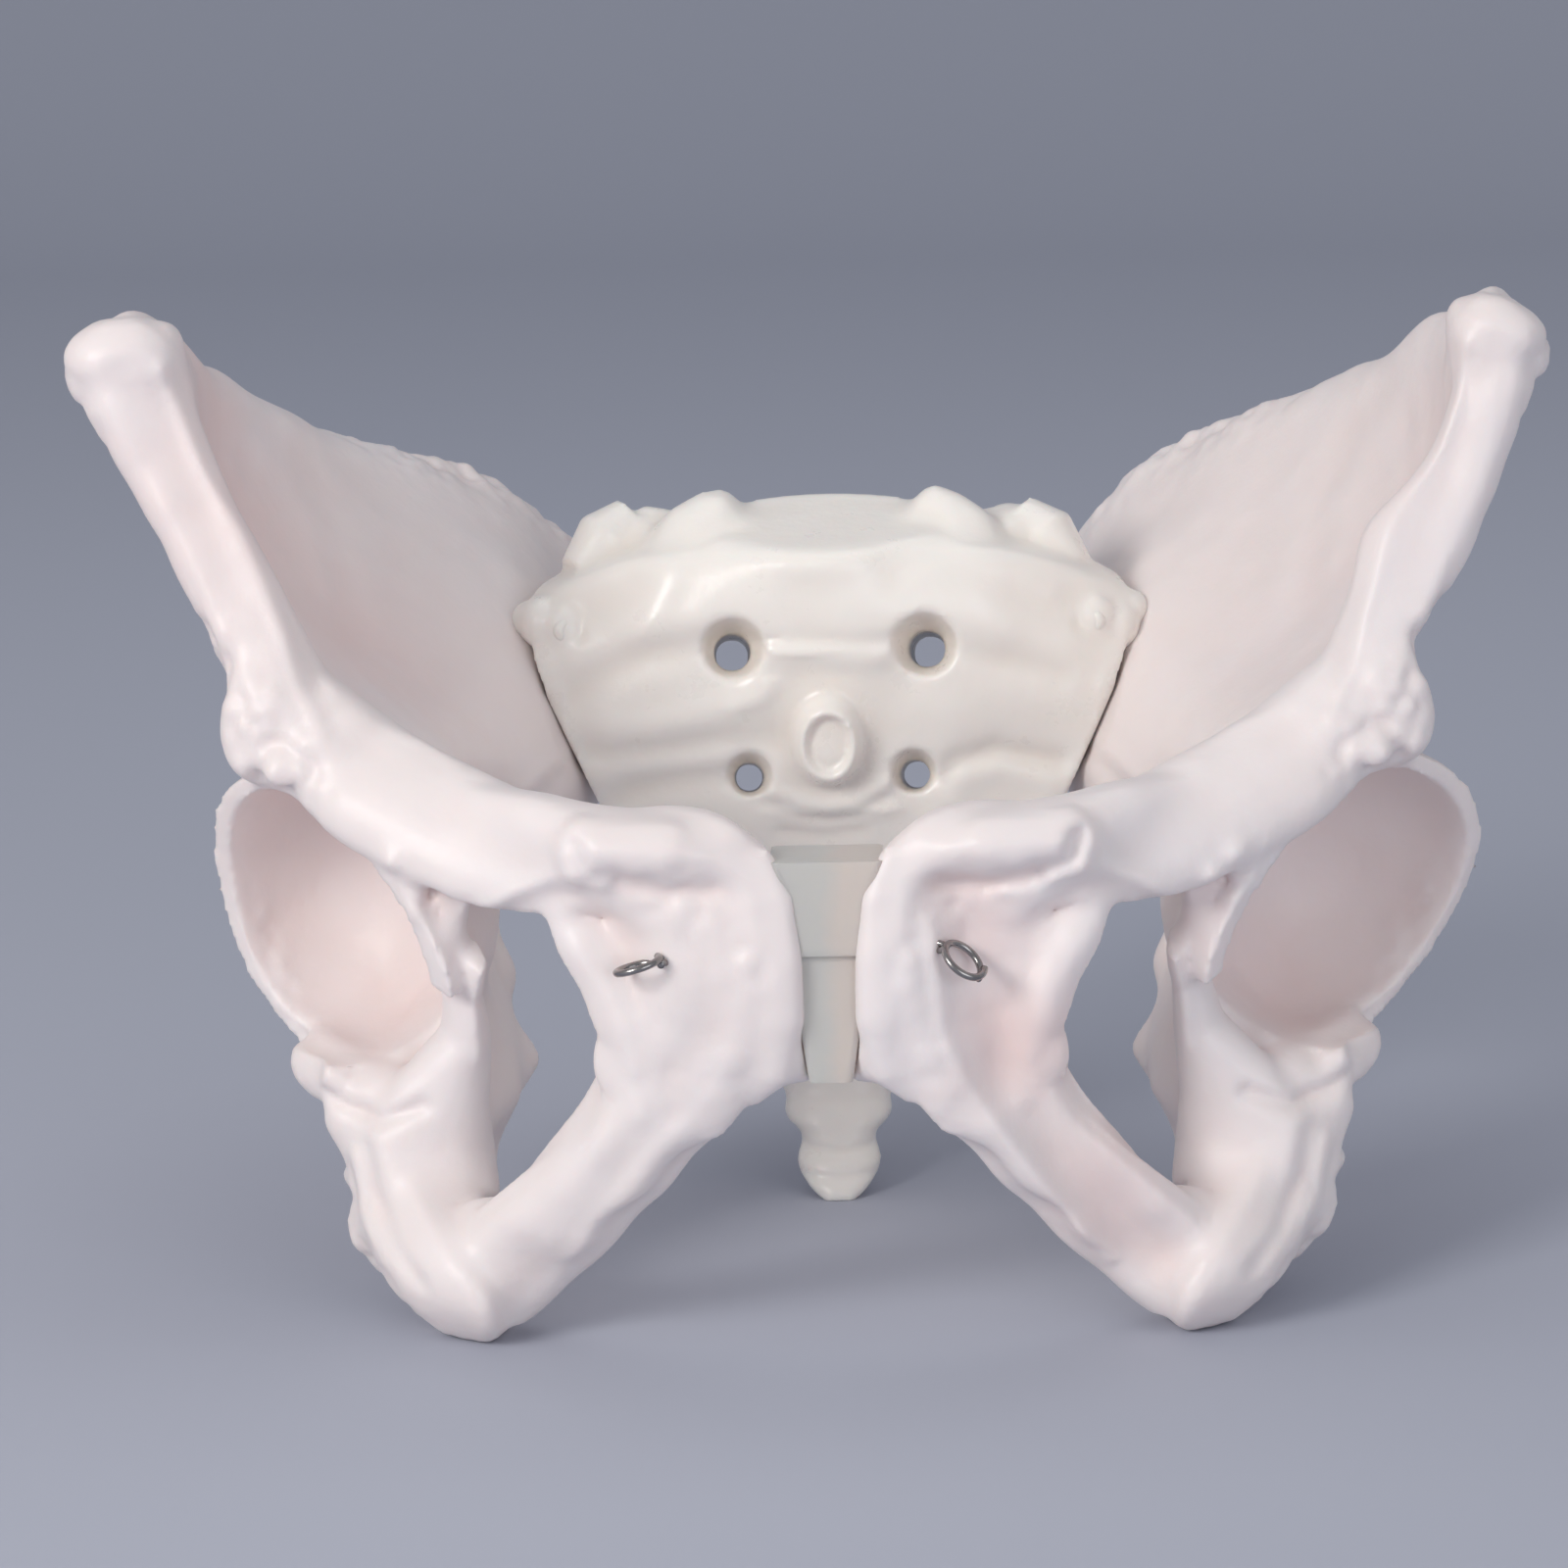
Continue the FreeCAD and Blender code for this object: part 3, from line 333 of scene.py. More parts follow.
# Where the rolled front border and the branch to the front flow into the hollow of the wing, and
# the horn of the socket into the sitting bone: a line and how far the melting reaches.
hipMelts = [
    ([(99, -36, 130), (93, -40, 119), (88, -40, 111), (80, -45, 104), (70, -50, 98), (61, -54, 93)], 8),
    ([(84, -50, 34), (80, -54, 26)], 7),
]

# The inner wall, the spine behind it, the foramen's upper corner, the front border, the horn of
# the socket and the lower branch are pulled into place: where, how far round it, and by how much.
hipPulls = [
    ((57, -10, 66), 17, (7.5, 0, 0)),
    ((58, -30, 56), 10, (2.5, 0, 0)),
    ((59, -4, 47), 6, (-3.5, 0, 0)),
    ((66, -74, 61), 13, (-4, -4, -2)),
    ((100, -50, 112), 14, (-3.5, 0, 0)),
    ((95, -52, 43), 7, (-5.5, 0, 0)),
    ((24, -85, 33), 8, (3, 0, 3)),
    ((33, -83, 20), 8, (3.5, 0, 3)),
    ((43, -80, 8), 8, (3, 0, 2.5)),
]

# Lines and spots on the front of both hip bones, as distance from the middle and height, then
# how wide and how high, in millimetres.
hipMarks = [
    ([(116, 162), (111, 151), (106, 141), (101, 130), (97, 120), (93.5, 110)], 4.4, -1.4),
    ([(110.5, 163), (107.5, 154), (104, 146), (98.5, 137), (94.5, 128), (91, 119), (88, 110),
      (84.5, 103)], 1.5, 1.0),
    ([(107.5, 161), (104.5, 153), (100.5, 145), (95.5, 136), (91.5, 127), (88, 118), (85, 110)], 2.2, -1.5),
    ([(59, 75), (52, 80.5), (45.5, 83.5), (38.5, 85.5)], 1.6, 1.0),
    ([(57, 71), (51, 77), (45, 80), (39.5, 81.5)], 2.0, -1.1),
    ([(37, 90.5), (26, 89.5), (17, 90)], 4.6, 1.9),
    ([(41, 90), (39.5, 86), (32, 82.8), (25, 81.3), (18.5, 82)], 1.7, -1.2),
    ([(38, 76.5), (31, 73.5), (24, 73.5)], 5.5, -0.7),
    ([(40.5, 71), (36, 64), (32.5, 55), (33.5, 47), (39, 37.5), (46.5, 29.5), (53, 23)], 3.0, 0.7),
    ([(26.5, 40), (33.5, 29), (44, 14.5), (48.5, 8)], 3.0, 0.6),
    ([(13.5, 83), (12.8, 73), (13.2, 65), (15, 57.5), (19, 48.5), (24.5, 41), (32.5, 31), (39, 22),
      (47, 10.5)], 3.0, 0.7),
    ([(93.5, 108.5)], 4.2, 1.7),
    ([(92, 97.5)], 2.6, 1.3),
    ([(98.5, 97)], 2.6, 1.3),
    ([(86, 98), (91, 101), (97, 101)], 1.6, -1.0),
    ([(70, 38.7), (77.5, 35.8), (84, 37), (88, 39)], 1.5, -1.6),
    ([(82, 43), (76, 46), (70, 53)], 1.8, -1.5),
    ([(58, 63), (59.5, 55), (59.5, 47)], 1.3, 0.8),
    ([(80, 31), (79, 24), (75, 17), (70, 12)], 1.6, -1.1),
    ([(83.5, 29), (82.5, 21), (78, 13)], 1.4, 1.0),
    ([(66, 100), (75, 100), (83, 104)], 3.4, -1.3),
]

# Marks of one bone alone. On the model's left the hollow beside the ridge of the lower branch is
# deeper, and each bone has its own knobs at the socket's inner rim.
leftMarks = [
    ([(41, 90), (39.5, 86), (32, 82.8), (25, 81.3), (18.5, 82)], 1.5, -1.3),
    ([(21, 78), (24, 68), (26, 60), (30, 51), (35, 43), (42, 32), (49, 21), (54, 15)], 6.5, -3.4),
    ([(16.5, 76), (18, 66), (18.5, 58), (21.5, 50), (26.5, 42), (34, 31), (41, 20.5), (46, 14)], 1.4, 0.9),
    ([(61, 88)], 9.0, 1.6),
    ([(64, 79.5)], 2.0, 1.5),
    ([(68, 83)], 2.2, 1.4),
    ([(67, 75)], 2.0, 1.6),
]
rightMarks = [
    ([(26, 76), (26.5, 66), (27.5, 56), (29, 48), (34, 40), (41, 29.5), (47, 21)], 5.5, 2.2),
    ([(73, 83)], 2.2, 1.5),
    ([(75, 78)], 2.2, 1.4),
    ([(70, 74)], 2.0, 1.3),
    ([(44, 47), (40, 40)], 4.0, 0.6),
]

# The crest runs higher behind on the model's left and lower in the middle on its right, and the
# front border and the wall of each socket stand a little differently.
leftPulls = [
    ((110, -22, 162), 9, (0, 0, -3)),
    ((108, -38, 154), 8, (4, 0, 0)),
    ((104, -39, 145), 8, (2.5, 0, 0)),
    ((93.5, -43, 132), 9, (-3.8, 0, 0)),
    ((99, -45, 113), 9, (-4, 0, 0)),
    ((124, -38, 167), 11, (-3, 0, -1)),
    ((119, -38, 163), 15, (-3.5, 0, 0)),
    ((114, -41, 148), 12, (-2, 0, 0)),
    ((108, 15, 155), 14, (0, 0, 2.5)),
    ((107, -36, 74), 17, (3, 0, 0)),
    ((98, 45, 146), 14, (0, 0, 1.5)),
    ((67, 83, 126), 13, (0, 0, 2)),
    ((57, 89, 117), 12, (0, 0, 3.5)),
]
rightPulls = [
    ((62, -60, 66), 10, (4, 0, 0)),
    ((112, 5, 158), 12, (0, 0, -3)),
    ((105, -38, 72), 20, (-3.5, 0, 0)),
    ((84, -52, 24), 12, (-3, 0, 0)),
    ((105, 24, 153), 14, (0, 0, -2.5)),
    ((94, 51, 144), 20, (0, 0, -4.5)),
    ((80, 72, 135), 16, (0, 0, -4)),
]

# Where the skin is rougher: a line, how far round it and how much.
hipZones = [
    ([(119, -38, 166), (124, -34, 160), (120, -38, 152)], 5, 0.9),
    ([(119, -25, 160), (122, 0, 158), (114, 35, 150), (104, 55, 143)], 4, 0.9),
    ([(92, 62, 138), (80, 72, 133), (66, 84, 125), (55, 92, 115), (48, 94, 104)], 9, 0.8),
    ([(106, -40, 137), (103, -46, 124), (99, -53, 110)], 4, 1.5),
    ([(97, -58, 107), (95, -59, 97), (88, -62, 95)], 6, 1.3),
    ([(70, -66, 82), (68, -67, 75)], 5, 1.2),
    ([(104, -40, 95), (110, -30, 80), (104, -25, 62), (95, -30, 46), (88, -44, 38), (80, -53, 38)], 3, 1.6),
    ([(86, -46, 34), (86, -50, 22), (82, -56, 11), (70, -66, 3)], 7, 1.0),
    ([(38, -90, 84), (28, -91, 82), (20, -90, 80), (14, -91, 70)], 5, 0.7),
    ([(16, -90, 52), (24, -87, 44), (33, -85, 78), (24, -86, 74)], 5, 0.4),
    ([(48, 88, 96), (49, 80, 84), (50, 70, 76)], 6, 1.4),
]

# Where a rosy painted shade is laid on the plastic, mostly in hollows that lie in shade: the middle of a
# patch, its reach and how much.
leftWarmShade = [
    ((100, -22, 140), 22, 0.45),
    ((84, -5, 112), 20, 0.2),
    ((76, -38, 55), 13, 0.7),
    ((31, -84, 55), 13, 0.65),
    ((25, -87, 72), 8, 0.7),
    ((46, -78, 28), 13, 0.6),
    ((60, -70, 72), 9, 0.4),
]
rightWarmShade = [
    ((98, -15, 140), 32, 1.0),
    ((82, -8, 112), 28, 0.7),
    ((76, -38, 50), 12, 0.3),
    ((60, -62, 60), 7, 0.3),
]


def hipSkin():
    v = hipValues
    skin = skinOf([nodes["hip_bone_left"].data] + [meshFrom("lump", *shape) for shape in hipLumps()],
                  v["voxel"])
    skin.fillCreases(v["creaseRounds"])
    melting = np.max([bellAlong(skin.points, line, reach) for line, reach in hipMelts], axis=0)
    skin.points = skin.spread(skin.points, v["meltRounds"], v["meltShare"] * melting[:, None])
    pull(skin, hipPulls)
    skin.soften(v["softRounds"])
    etch(skin, hipMarks)
    uneven(skin)
    print("hip skin", len(skin.quads))
    return skin


def uneven(skin):
    # Soft waves all over, along the normal, and rough ones where a bell across a zone's line says.
    v = hipValues
    points, normal = skin.points, skin.normals()
    zone = np.max([much * bellAlong(points, line, reach) for line, reach, much in hipZones], axis=0)
    lift = sum(height * roughField(points, size, seed) for size, seed, height in v["waves"])
    rough = sum(height * roughField(points, size, seed) for size, seed, height in v["roughWaves"])
    skin.points = points + (lift + zone * (rough - v["roughSunk"]))[:, None] * normal


# Sacrum and coccyx. Creases fill fully above topFrom, below tailFrom and behind the line that leans
# back from rearFrom above rearLeanFrom, each over its blend, and by frontShare elsewhere. The knob on
# the front is smoothed away as far as bareKnob reaches, and a ring is worked out in its place: its
# outer and inner side have a start and a run, as shares of knobHalves.
sacrumValues = {
    "voxel": 0.70,
    "creaseRounds": 26,
    "frontShare": 0.35,
    "topFrom": 108,
    "tailFrom": 46,
    "heightBlend": 8,
    "rearFrom": 42,
    "rearLean": 0.25,
    "rearLeanFrom": 60,
    "rearBlend": 6,
    "flatRounds": 80,
    "flatShare": 0.6,
    "lineShare": 0.8,
    "relief": 0.55,
    "markWidth": 1.2,
    "softRounds": 9,
    "frontUpTo": 32,
    "bareKnobPlace": (0, 85),
    "bareKnobHalves": (9.5, 13),
    "knobPlace": (-0.5, 83.4),
    "knobHalves": (5.6, 7.6),
    "knobRise": 2.8,
    "knobFloor": 0.28,
    "knobLean": 0.12,
    "rimOuter": (0.86, 0.42),
    "rimInner": (0.58, 0.24),
}


def sacrumLumps():
    # Swellings of the top processes, the wings' upper edges and the coccyx, the corners beside the
    # plugs, the skin over the pins and the edges beside the joints.
    edge = [(38.9, 28.3, 68), (42.6, 28.3, 76), (46.3, 28.3, 84), (49.8, 28.8, 92), (51.8, 30, 98)]
    edgeSize = [2, 2.9, 2.9, 2.9, 2]
    return [
        rod([(-20.5, 40, 125), (-25, 38, 120.5), (-29, 34, 114), (-32, 31, 108)], [3.6, 6, 6.5, 4],
            [3.2, 6, 6.5, 4], (0, -1, 0.4)),
        rod([(21, 40, 124), (25, 38, 119.5), (28.5, 34, 113), (30.5, 31, 106)], [4.2, 6, 6.5, 4],
            [3.4, 6, 6.5, 4], (0, -1, 0.4)),
        rod([(-36, 47, 121), (-41, 45, 117), (-46, 42, 111)], [5, 7, 5], [5, 8, 7], (0, -1, 0.4)),
        rod([(35, 47, 120), (40, 45, 116), (45, 42, 110)], [5, 7, 5], [5, 8, 7], (0, -1, 0.4)),
        rod([(-36, 47, 119), (-28, 44, 117), (-20, 42, 118)], [5, 6, 5], [4, 5, 4], (0, -1, 0.4)),
        rod([(35, 47, 118), (28, 44, 116), (20, 42, 117)], [5, 6, 5], [4, 5, 4], (0, -1, 0.4)),
        rod([(0, 25, 31), (0, 20, 21.5), (0, 18.5, 15.5), (0, 16.5, 10)], [13, 11.6, 9.6, 6.8],
            [4, 4.2, 4, 3.4], (0, -0.94, 0.34)),
        ball((48.6, 31.6, 103.5), (4.6, 3.9, 4.6)),
        ball((-48.6, 31.6, 103.5), (4.6, 3.9, 4.6)),
        ball((53.5, 35.5, 101.5), (4.2, 6, 5)),
        ball((-53.5, 35.5, 104), (4.2, 6, 5)),
        ball((56, 39.5, 103.5), (3.5, 6, 3.8)),
        ball((-56, 39.5, 103.5), (3.5, 6, 3.8)),
    ] + [rod([(side * x, y, z) for x, y, z in edge], edgeSize, edgeSize, (0, 1, 0)) for side in (-1, 1)]


# Places on the front that are rounded off: a line and how far the rounding reaches.
sacrumSoft = [
    ([(-24, 24, 117), (-12, 20, 119), (12, 20, 119), (24, 24, 117)], 5.5),
    ([(-24, 34, 121), (24, 34, 121)], 7),
    ([(0, 24, 30), (0, 20, 19)], 7),
]

# Lines and spots on the front, as x and z, then how wide and how high in millimetres.
sacrumMarks = [
    ([(-9, 108.5), (3, 108.5)], 11, 1.6),
    ([(-17.8, 120), (-10.6, 120.2), (-4.8, 120.3), (-1.6, 121.1), (2.9, 122.3)], 1.3, -1.0),
    ([(-19, 123.2), (-8, 123.6), (4, 124.5), (14, 123.5)], 2.4, 1.1),
    ([(11.8, 115.6), (15, 118.6), (20, 121.5)], 3.8, -2.6),
    ([(22, 123.5), (24.5, 119.6), (29.8, 116.4), (41, 109.9)], 2.0, 1.1),
    ([(22, 122), (28, 113.5), (30.4, 103.1)], 4.0, 1.2),
    ([(-20, 126), (-24.4, 122), (-28.2, 116.7), (-31.9, 109.3), (-34.3, 104.4)], 3.0, 2.0),
    ([(-38, 114), (-43, 108)], 5.0, -1.6),
    ([(-22, 101.6), (-33.5, 100), (-42.5, 95.6), (-52, 89.5)], 3.2, -2.4),
    ([(-24, 106), (-34, 104.6), (-46, 100.5)], 3.2, 1.1),
    ([(-13.4, 101.6), (-5, 102), (5, 101.7), (11.8, 102.4)], 1.5, -1.1),
    ([(-11, 98.8), (9, 98.8)], 1.7, 0.9),
    ([(-40, 84.5), (-33, 85.5), (-27.1, 87.1), (-18.8, 90.2), (-12, 93.5)], 3.2, 1.9),
    ([(-45, 81), (-32, 82), (-20, 82.8), (-11, 83.5)], 2.8, -1.5),
    ([(-43, 78), (-31, 79), (-20, 80.2)], 2.0, 0.9),
    ([(-42, 71.5), (-36.9, 73.8), (-29, 75.6), (-19, 76.6)], 2.6, -2.2),
    ([(-13, 73.6), (-6, 71.9), (-0.7, 70.9), (4.5, 71.6), (9.6, 74.0)], 1.4, 1.0),
    ([(-13.1, 71.6), (-5.9, 69.1), (-0.7, 68.2), (4.5, 68.9), (9.7, 71.6)], 1.2, -1.2),
    ([(-9.5, 65.6), (-1.9, 64.7), (5.6, 65.4)], 1.1, -0.9),
    ([(27, 106), (36, 103.6), (43, 100.4)], 4.6, 1.7),
    ([(23, 100.5), (31, 98.2), (42, 94.5)], 2.8, -1.1),
    ([(24, 87.5), (32, 90.5), (43, 90)], 5.5, 1.3),
    ([(20, 75.5), (23.5, 78.8), (30.5, 80.6), (42, 78)], 2.0, -1.9),
    ([(24, 75.5), (31, 77.2), (40, 74.6)], 2.2, 0.9),
    ([(10.3, 75.4), (13.6, 77.8)], 1.0, 0.7),
    ([(-18, 96.6)], 6.2, -2.3),
    ([(-10.9, 94.5), (-12.5, 91.4), (-17, 89.9)], 1.3, 0.8),
    ([(14.6, 95.6)], 4.6, -2.0),
    ([(-17.5, 73.4)], 4.2, -1.3),
    ([(15.5, 72.4)], 3.8, -1.4),
    ([(-18, 50), (-11, 48.5), (-4, 48), (4, 48), (11, 48.5), (18, 50)], 1.3, -0.9),
    ([(-10, 31), (10, 31)], 1.3, -0.8),
    ([(-8, 8.8), (0, 8.2), (8, 8.8)], 0.8, -1.5),
    ([(-7, 4.4), (0, 3.8), (7, 4.4)], 0.7, -1.1),
]


def clipped(values, start, run):
    # 0 up to the start, 1 after the run, a straight rise between them.
    return np.clip((values - start) / run, 0, 1)


def fromKnob(skin, place, halves):
    # How far each point lies from an oval seen from the front: 1 on the oval itself.
    return np.hypot(*((skin.points[:, [0, 2]] - place) / halves).T)


def sacrumSkin():
    v = sacrumValues
    skin = skinOf([nodes["sacrum"].data] + [meshFrom("lump", *shape) for shape in sacrumLumps()],
                  v["voxel"])
    x, y, z = skin.points.T
    top = clipped(z, v["topFrom"], v["heightBlend"])
    lean = v["rearLean"] * np.clip(z - v["rearLeanFrom"], 0, None)
    rear = clipped(y - v["rearFrom"] - lean, 0, v["rearBlend"])
    rear += clipped(v["tailFrom"] - z, 0, v["heightBlend"])
    skin.fillCreases(v["creaseRounds"], where=np.clip(v["frontShare"] + top + rear, 0, 1))
    # the modelled knob is smoothed away with the soft places, fully within six tenths of its oval
    near = fromKnob(skin, v["bareKnobPlace"], v["bareKnobHalves"])
    flat = np.clip(2.2 - 2 * near, 0, 1) * (skin.points[:, 1] < v["frontUpTo"])
    for line, reach in sacrumSoft:
        flat = np.maximum(flat, v["lineShare"] * bellAlong(skin.points, line, reach))
    skin.points = skin.spread(skin.points, v["flatRounds"], v["flatShare"] * flat[:, None])
    etch(skin, [(line, v["markWidth"] * width, v["relief"] * height)
                for line, width, height in sacrumMarks])
    # ring: rises as a half wave from its foot to the rim, and falls inside it to a flat floor
    away = fromKnob(skin, v["knobPlace"], v["knobHalves"])
    outer = 0.5 + 0.5 * np.cos(math.pi * clipped(away, *v["rimOuter"]))
    inner = 0.5 - 0.5 * np.cos(math.pi * clipped(away, *v["rimInner"]))
    rise = outer * (v["knobFloor"] + (1 - v["knobFloor"]) * inner) * v["knobRise"]
    rise *= skin.points[:, 1] < v["frontUpTo"]
    skin.points = skin.points - rise[:, None] * np.array([0, 1.0, v["knobLean"]])
    skin.soften(v["softRounds"])
    skin.standUp()
    print("sacrum skin", len(skin.quads))
    return skin


class Value:
    # A node's output that can stand in a sum, a difference or a product: each sign adds a Math node.
    def __init__(self, finish, socket):
        self.finish = finish
        self.socket = socket

    def maths(self, sign, first, second):
        return self.finish.node("ShaderNodeMath", {"operation": sign}, {0: first, 1: second})

    def __add__(self, other):
        return self.maths("ADD", self, other)

    def __radd__(self, other):
        return self.maths("ADD", other, self)

    def __sub__(self, other):
        return self.maths("SUBTRACT", self, other)

    def __rsub__(self, other):
        return self.maths("SUBTRACT", other, self)

    def __mul__(self, other):
        return self.maths("MULTIPLY", self, other)

    def __rmul__(self, other):
        return self.maths("MULTIPLY", other, self)


class Finish:
    # One material. node() adds any node: its settings first, then values or links for its inputs.
    # A ramp's stops are pairs of a place and a grey.
    def __init__(self, name):
        self.material = bpy.data.materials.new(name)
        self.material.use_nodes = True
        self.tree = self.material.node_tree
        self.tree.nodes.clear()

    def node(self, kind, settings=None, inputs=None, output=0):
        made = self.tree.nodes.new(kind)
        for key, value in (settings or {}).items():
            if key == "stops":
                ramp = made.color_ramp.elements
                for element, (place, grey) in zip(ramp, value):
                    element.position = place
                    element.color = (grey, grey, grey, 1)
            else:
                setattr(made, key, value)
        for key, value in (inputs or {}).items():
            if isinstance(value, Value):
                self.tree.links.new(value.socket, made.inputs[key])
            else:
                made.inputs[key].default_value = value
        return Value(self, made.outputs[output]) if made.outputs else None

    def place(self):
        return self.node("ShaderNodeTexCoord", output=3)

    def attribute(self, name):
        return self.node("ShaderNodeAttribute", {"attribute_name": name}, {}, 2)

    def noise(self, size, detail, rough):
        # size is the width of a patch in millimetres
        return self.node("ShaderNodeTexNoise", {}, {"Vector": self.place(), "Scale": 1 / (size * mm),
                                                    "Detail": detail, "Roughness": rough})

    def mixed(self, amount, one, other):
        settings = {"data_type": "RGBA", "clamp_factor": True}
        return self.node("ShaderNodeMix", settings, {0: amount, 6: one, 7: other}, 2)

    def ramp(self, value, low, high):
        # 0 below the low value, 1 above the high one
        return self.node("ShaderNodeValToRGB", {"stops": [(low, 0), (high, 1)]}, {0: value})

    def bump(self, height, depth, strength, under=None):
        # depth is the relief in millimetres; under is a bump that this one lies on
        inputs = {"Strength": strength, "Distance": depth * mm, "Height": height}
        return self.node("ShaderNodeBump", {}, inputs if under is None else inputs | {"Normal": under})

    def surface(self, inputs):
        shader = self.node("ShaderNodeBsdfPrincipled", {}, inputs)
        self.node("ShaderNodeOutputMaterial", {}, {"Surface": shader})
        return self.material


# Cast plastic. Noises are patch size in millimetres, detail and roughness; spans are where a blend
# starts and ends; bumps are depth in millimetres and strength; the last three entries say how much
# light goes into the plastic, and how far.
castValues = {
    "cloud": (38, 4, 0.55),
    "fine": (5, 4, 0.6),
    "waves": (9, 3, 0.5),
    "pores": (1.1, 3, 0.6),
    "hollowGain": 0.35,
    "hollowCloud": 0.5,
    # painted shade: the deep colour is blended into hollows over this span, up to this share
    "shadeSpan": (0.42, 1.0),
    "shadeShare": 0.65,
    # warm is the colour of the rosy painted shade on the warm patches
    "warm": (0.82, 0.62, 0.59, 1),
    "warmShadeShare": (0.7, 0.5),
    "thinSpan": (0.45, 0.75),
    "thinShare": 0.5,
    "fineRough": 0.16,
    "cloudRough": 0.12,
    "waveBump": (0.5, 0.5),
    "poreBump": (0.1, 0.3),
    "glow": 0.15,
    "glowRadius": (1.0, 0.45, 0.30),
    "glowScale": 0.003,
}
# pale is each plastic's own colour, deep its painted shade in hollows, thin the tone of its cloudy patches
hipPlastic = {
    "pale": (0.86, 0.775, 0.755, 1),
    "deep": (0.79, 0.62, 0.58, 1),
    "thin": (0.88, 0.84, 0.85, 1),
    "rough": 0.42,
    "gloss": 0.45,
}
sacrumPlastic = {
    "pale": (0.92, 0.875, 0.82, 1),
    "deep": (0.76, 0.66, 0.57, 1),
    "thin": (0.92, 0.875, 0.82, 1),
    "rough": 0.30,
    "gloss": 0.55,
}


def castFinish(name, own):
    # Pale on ridges, with a darker, rosier painted shade in hollows and a rosy painted shade in the
    # warm patches, with thin cloudy patches, a pored skin and slow waves left by the mould.
    v = castValues
    finish = Finish(name)
    hollow = finish.attribute("hollow")
    cloud = finish.noise(*v["cloud"])
    fine = finish.noise(*v["fine"])
    # painted shade in hollows
    depth = finish.ramp(hollow * v["hollowGain"] + 0.5 + (cloud - 0.5) * v["hollowCloud"], *v["shadeSpan"])
    colour = finish.mixed(depth * v["shadeShare"], own["pale"], own["deep"])
    least, gain = v["warmShadeShare"]
    # rosy painted shade on the warm patches
    colour = finish.mixed(finish.attribute("warm") * (least + cloud * gain), colour, v["warm"])
    colour = finish.mixed(finish.ramp(cloud, *v["thinSpan"]) * v["thinShare"], colour, own["thin"])
    roughness = own["rough"] + (fine - 0.5) * v["fineRough"] + (cloud - 0.5) * v["cloudRough"]
    bump = finish.bump(finish.noise(*v["waves"]), *v["waveBump"])
    bump = finish.bump(finish.noise(*v["pores"]), *v["poreBump"], under=bump)
    return finish.surface({"Base Color": colour, "Roughness": roughness, "Normal": bump,
                           "Subsurface Weight": v["glow"], "Subsurface Radius": v["glowRadius"],
                           "Subsurface Scale": v["glowScale"], "IOR": 1.47,
                           "Specular IOR Level": own["gloss"]})


steelValues = {
    "dark": (0.20, 0.19, 0.19, 1),
    "bright": (0.42, 0.40, 0.39, 1),
    "streak": (2.5, 2, 0.5),
    "rough": 0.14,
    "roughSpread": 0.14,
}


def steelFinish():
    v = steelValues
    finish = Finish("wireSteel")
    streak = finish.noise(*v["streak"])
    return finish.surface({"Base Color": finish.mixed(streak, v["dark"], v["bright"]),
                           "Roughness": v["rough"] + streak * v["roughSpread"], "Metallic": 1.0})


# The disc is greenish grey on the model's right and warmer on its left.
discValues = {
    "green": (0.80, 0.79, 0.75, 1),
    "warm": (0.90, 0.81, 0.74, 1),
    "turnAcross": 130,
    "middle": 0.45,
    "cloud": (9, 3, 0.5),
    "cloudGain": 0.8,
    "span": (0.3, 0.7),
    "waves": (4, 3, 0.5),
    "waveBump": (0.3, 0.4),
    "rough": 0.28,
    "roughSpread": 0.1,
    "clear": 0.45,
    "glow": 0.3,
    "glowRadius": (1.0, 0.9, 0.7),
    "glowScale": 0.004,
}


def siliconeFinish():
    v = discValues
    finish = Finish("discSilicone")
    cloud = finish.noise(*v["cloud"])
    across = finish.node("ShaderNodeSeparateXYZ", {}, {0: finish.place()})
    share = finish.ramp(across * v["turnAcross"] + v["middle"] + (cloud - 0.5) * v["cloudGain"], *v["span"])
    return finish.surface({"Base Color": finish.mixed(share, v["green"], v["warm"]),
                           "Roughness": v["rough"] + cloud * v["roughSpread"],
                           "Normal": finish.bump(finish.noise(*v["waves"]), *v["waveBump"]),
                           "Transmission Weight": v["clear"], "IOR": 1.41, "Subsurface Weight": v["glow"],
                           "Subsurface Radius": v["glowRadius"], "Subsurface Scale": v["glowScale"]})


# The wire's two eyes and its run through the bones. Each side has its eye's middle, the two
# directions that the eye lies in, and which way along x is inwards, into the bone.
wireValues = {
    "half": 0.62,
    "eyeHalf": 3.7,
    "eyeFlat": 0.92,
    "eyeTurn": (-0.25, 2.1 * math.pi),
    "eyeRise": 1.1,
    "height": 70.0,
    "depth": -83.0,
    "runLength": 9,
    "twist": 9,
    "strandApart": 0.62,
    "strandShare": 0.92,
}
wireSides = [
    ((-31.0, -92.6, 69.6), ((0.965, 0.10, 0.24), (-0.12, 0.99, -0.06)), 1),
    ((22.0, -92.4, 69.6), ((0.78, -0.05, -0.62), (0.28, 0.86, 0.36)), -1),
]


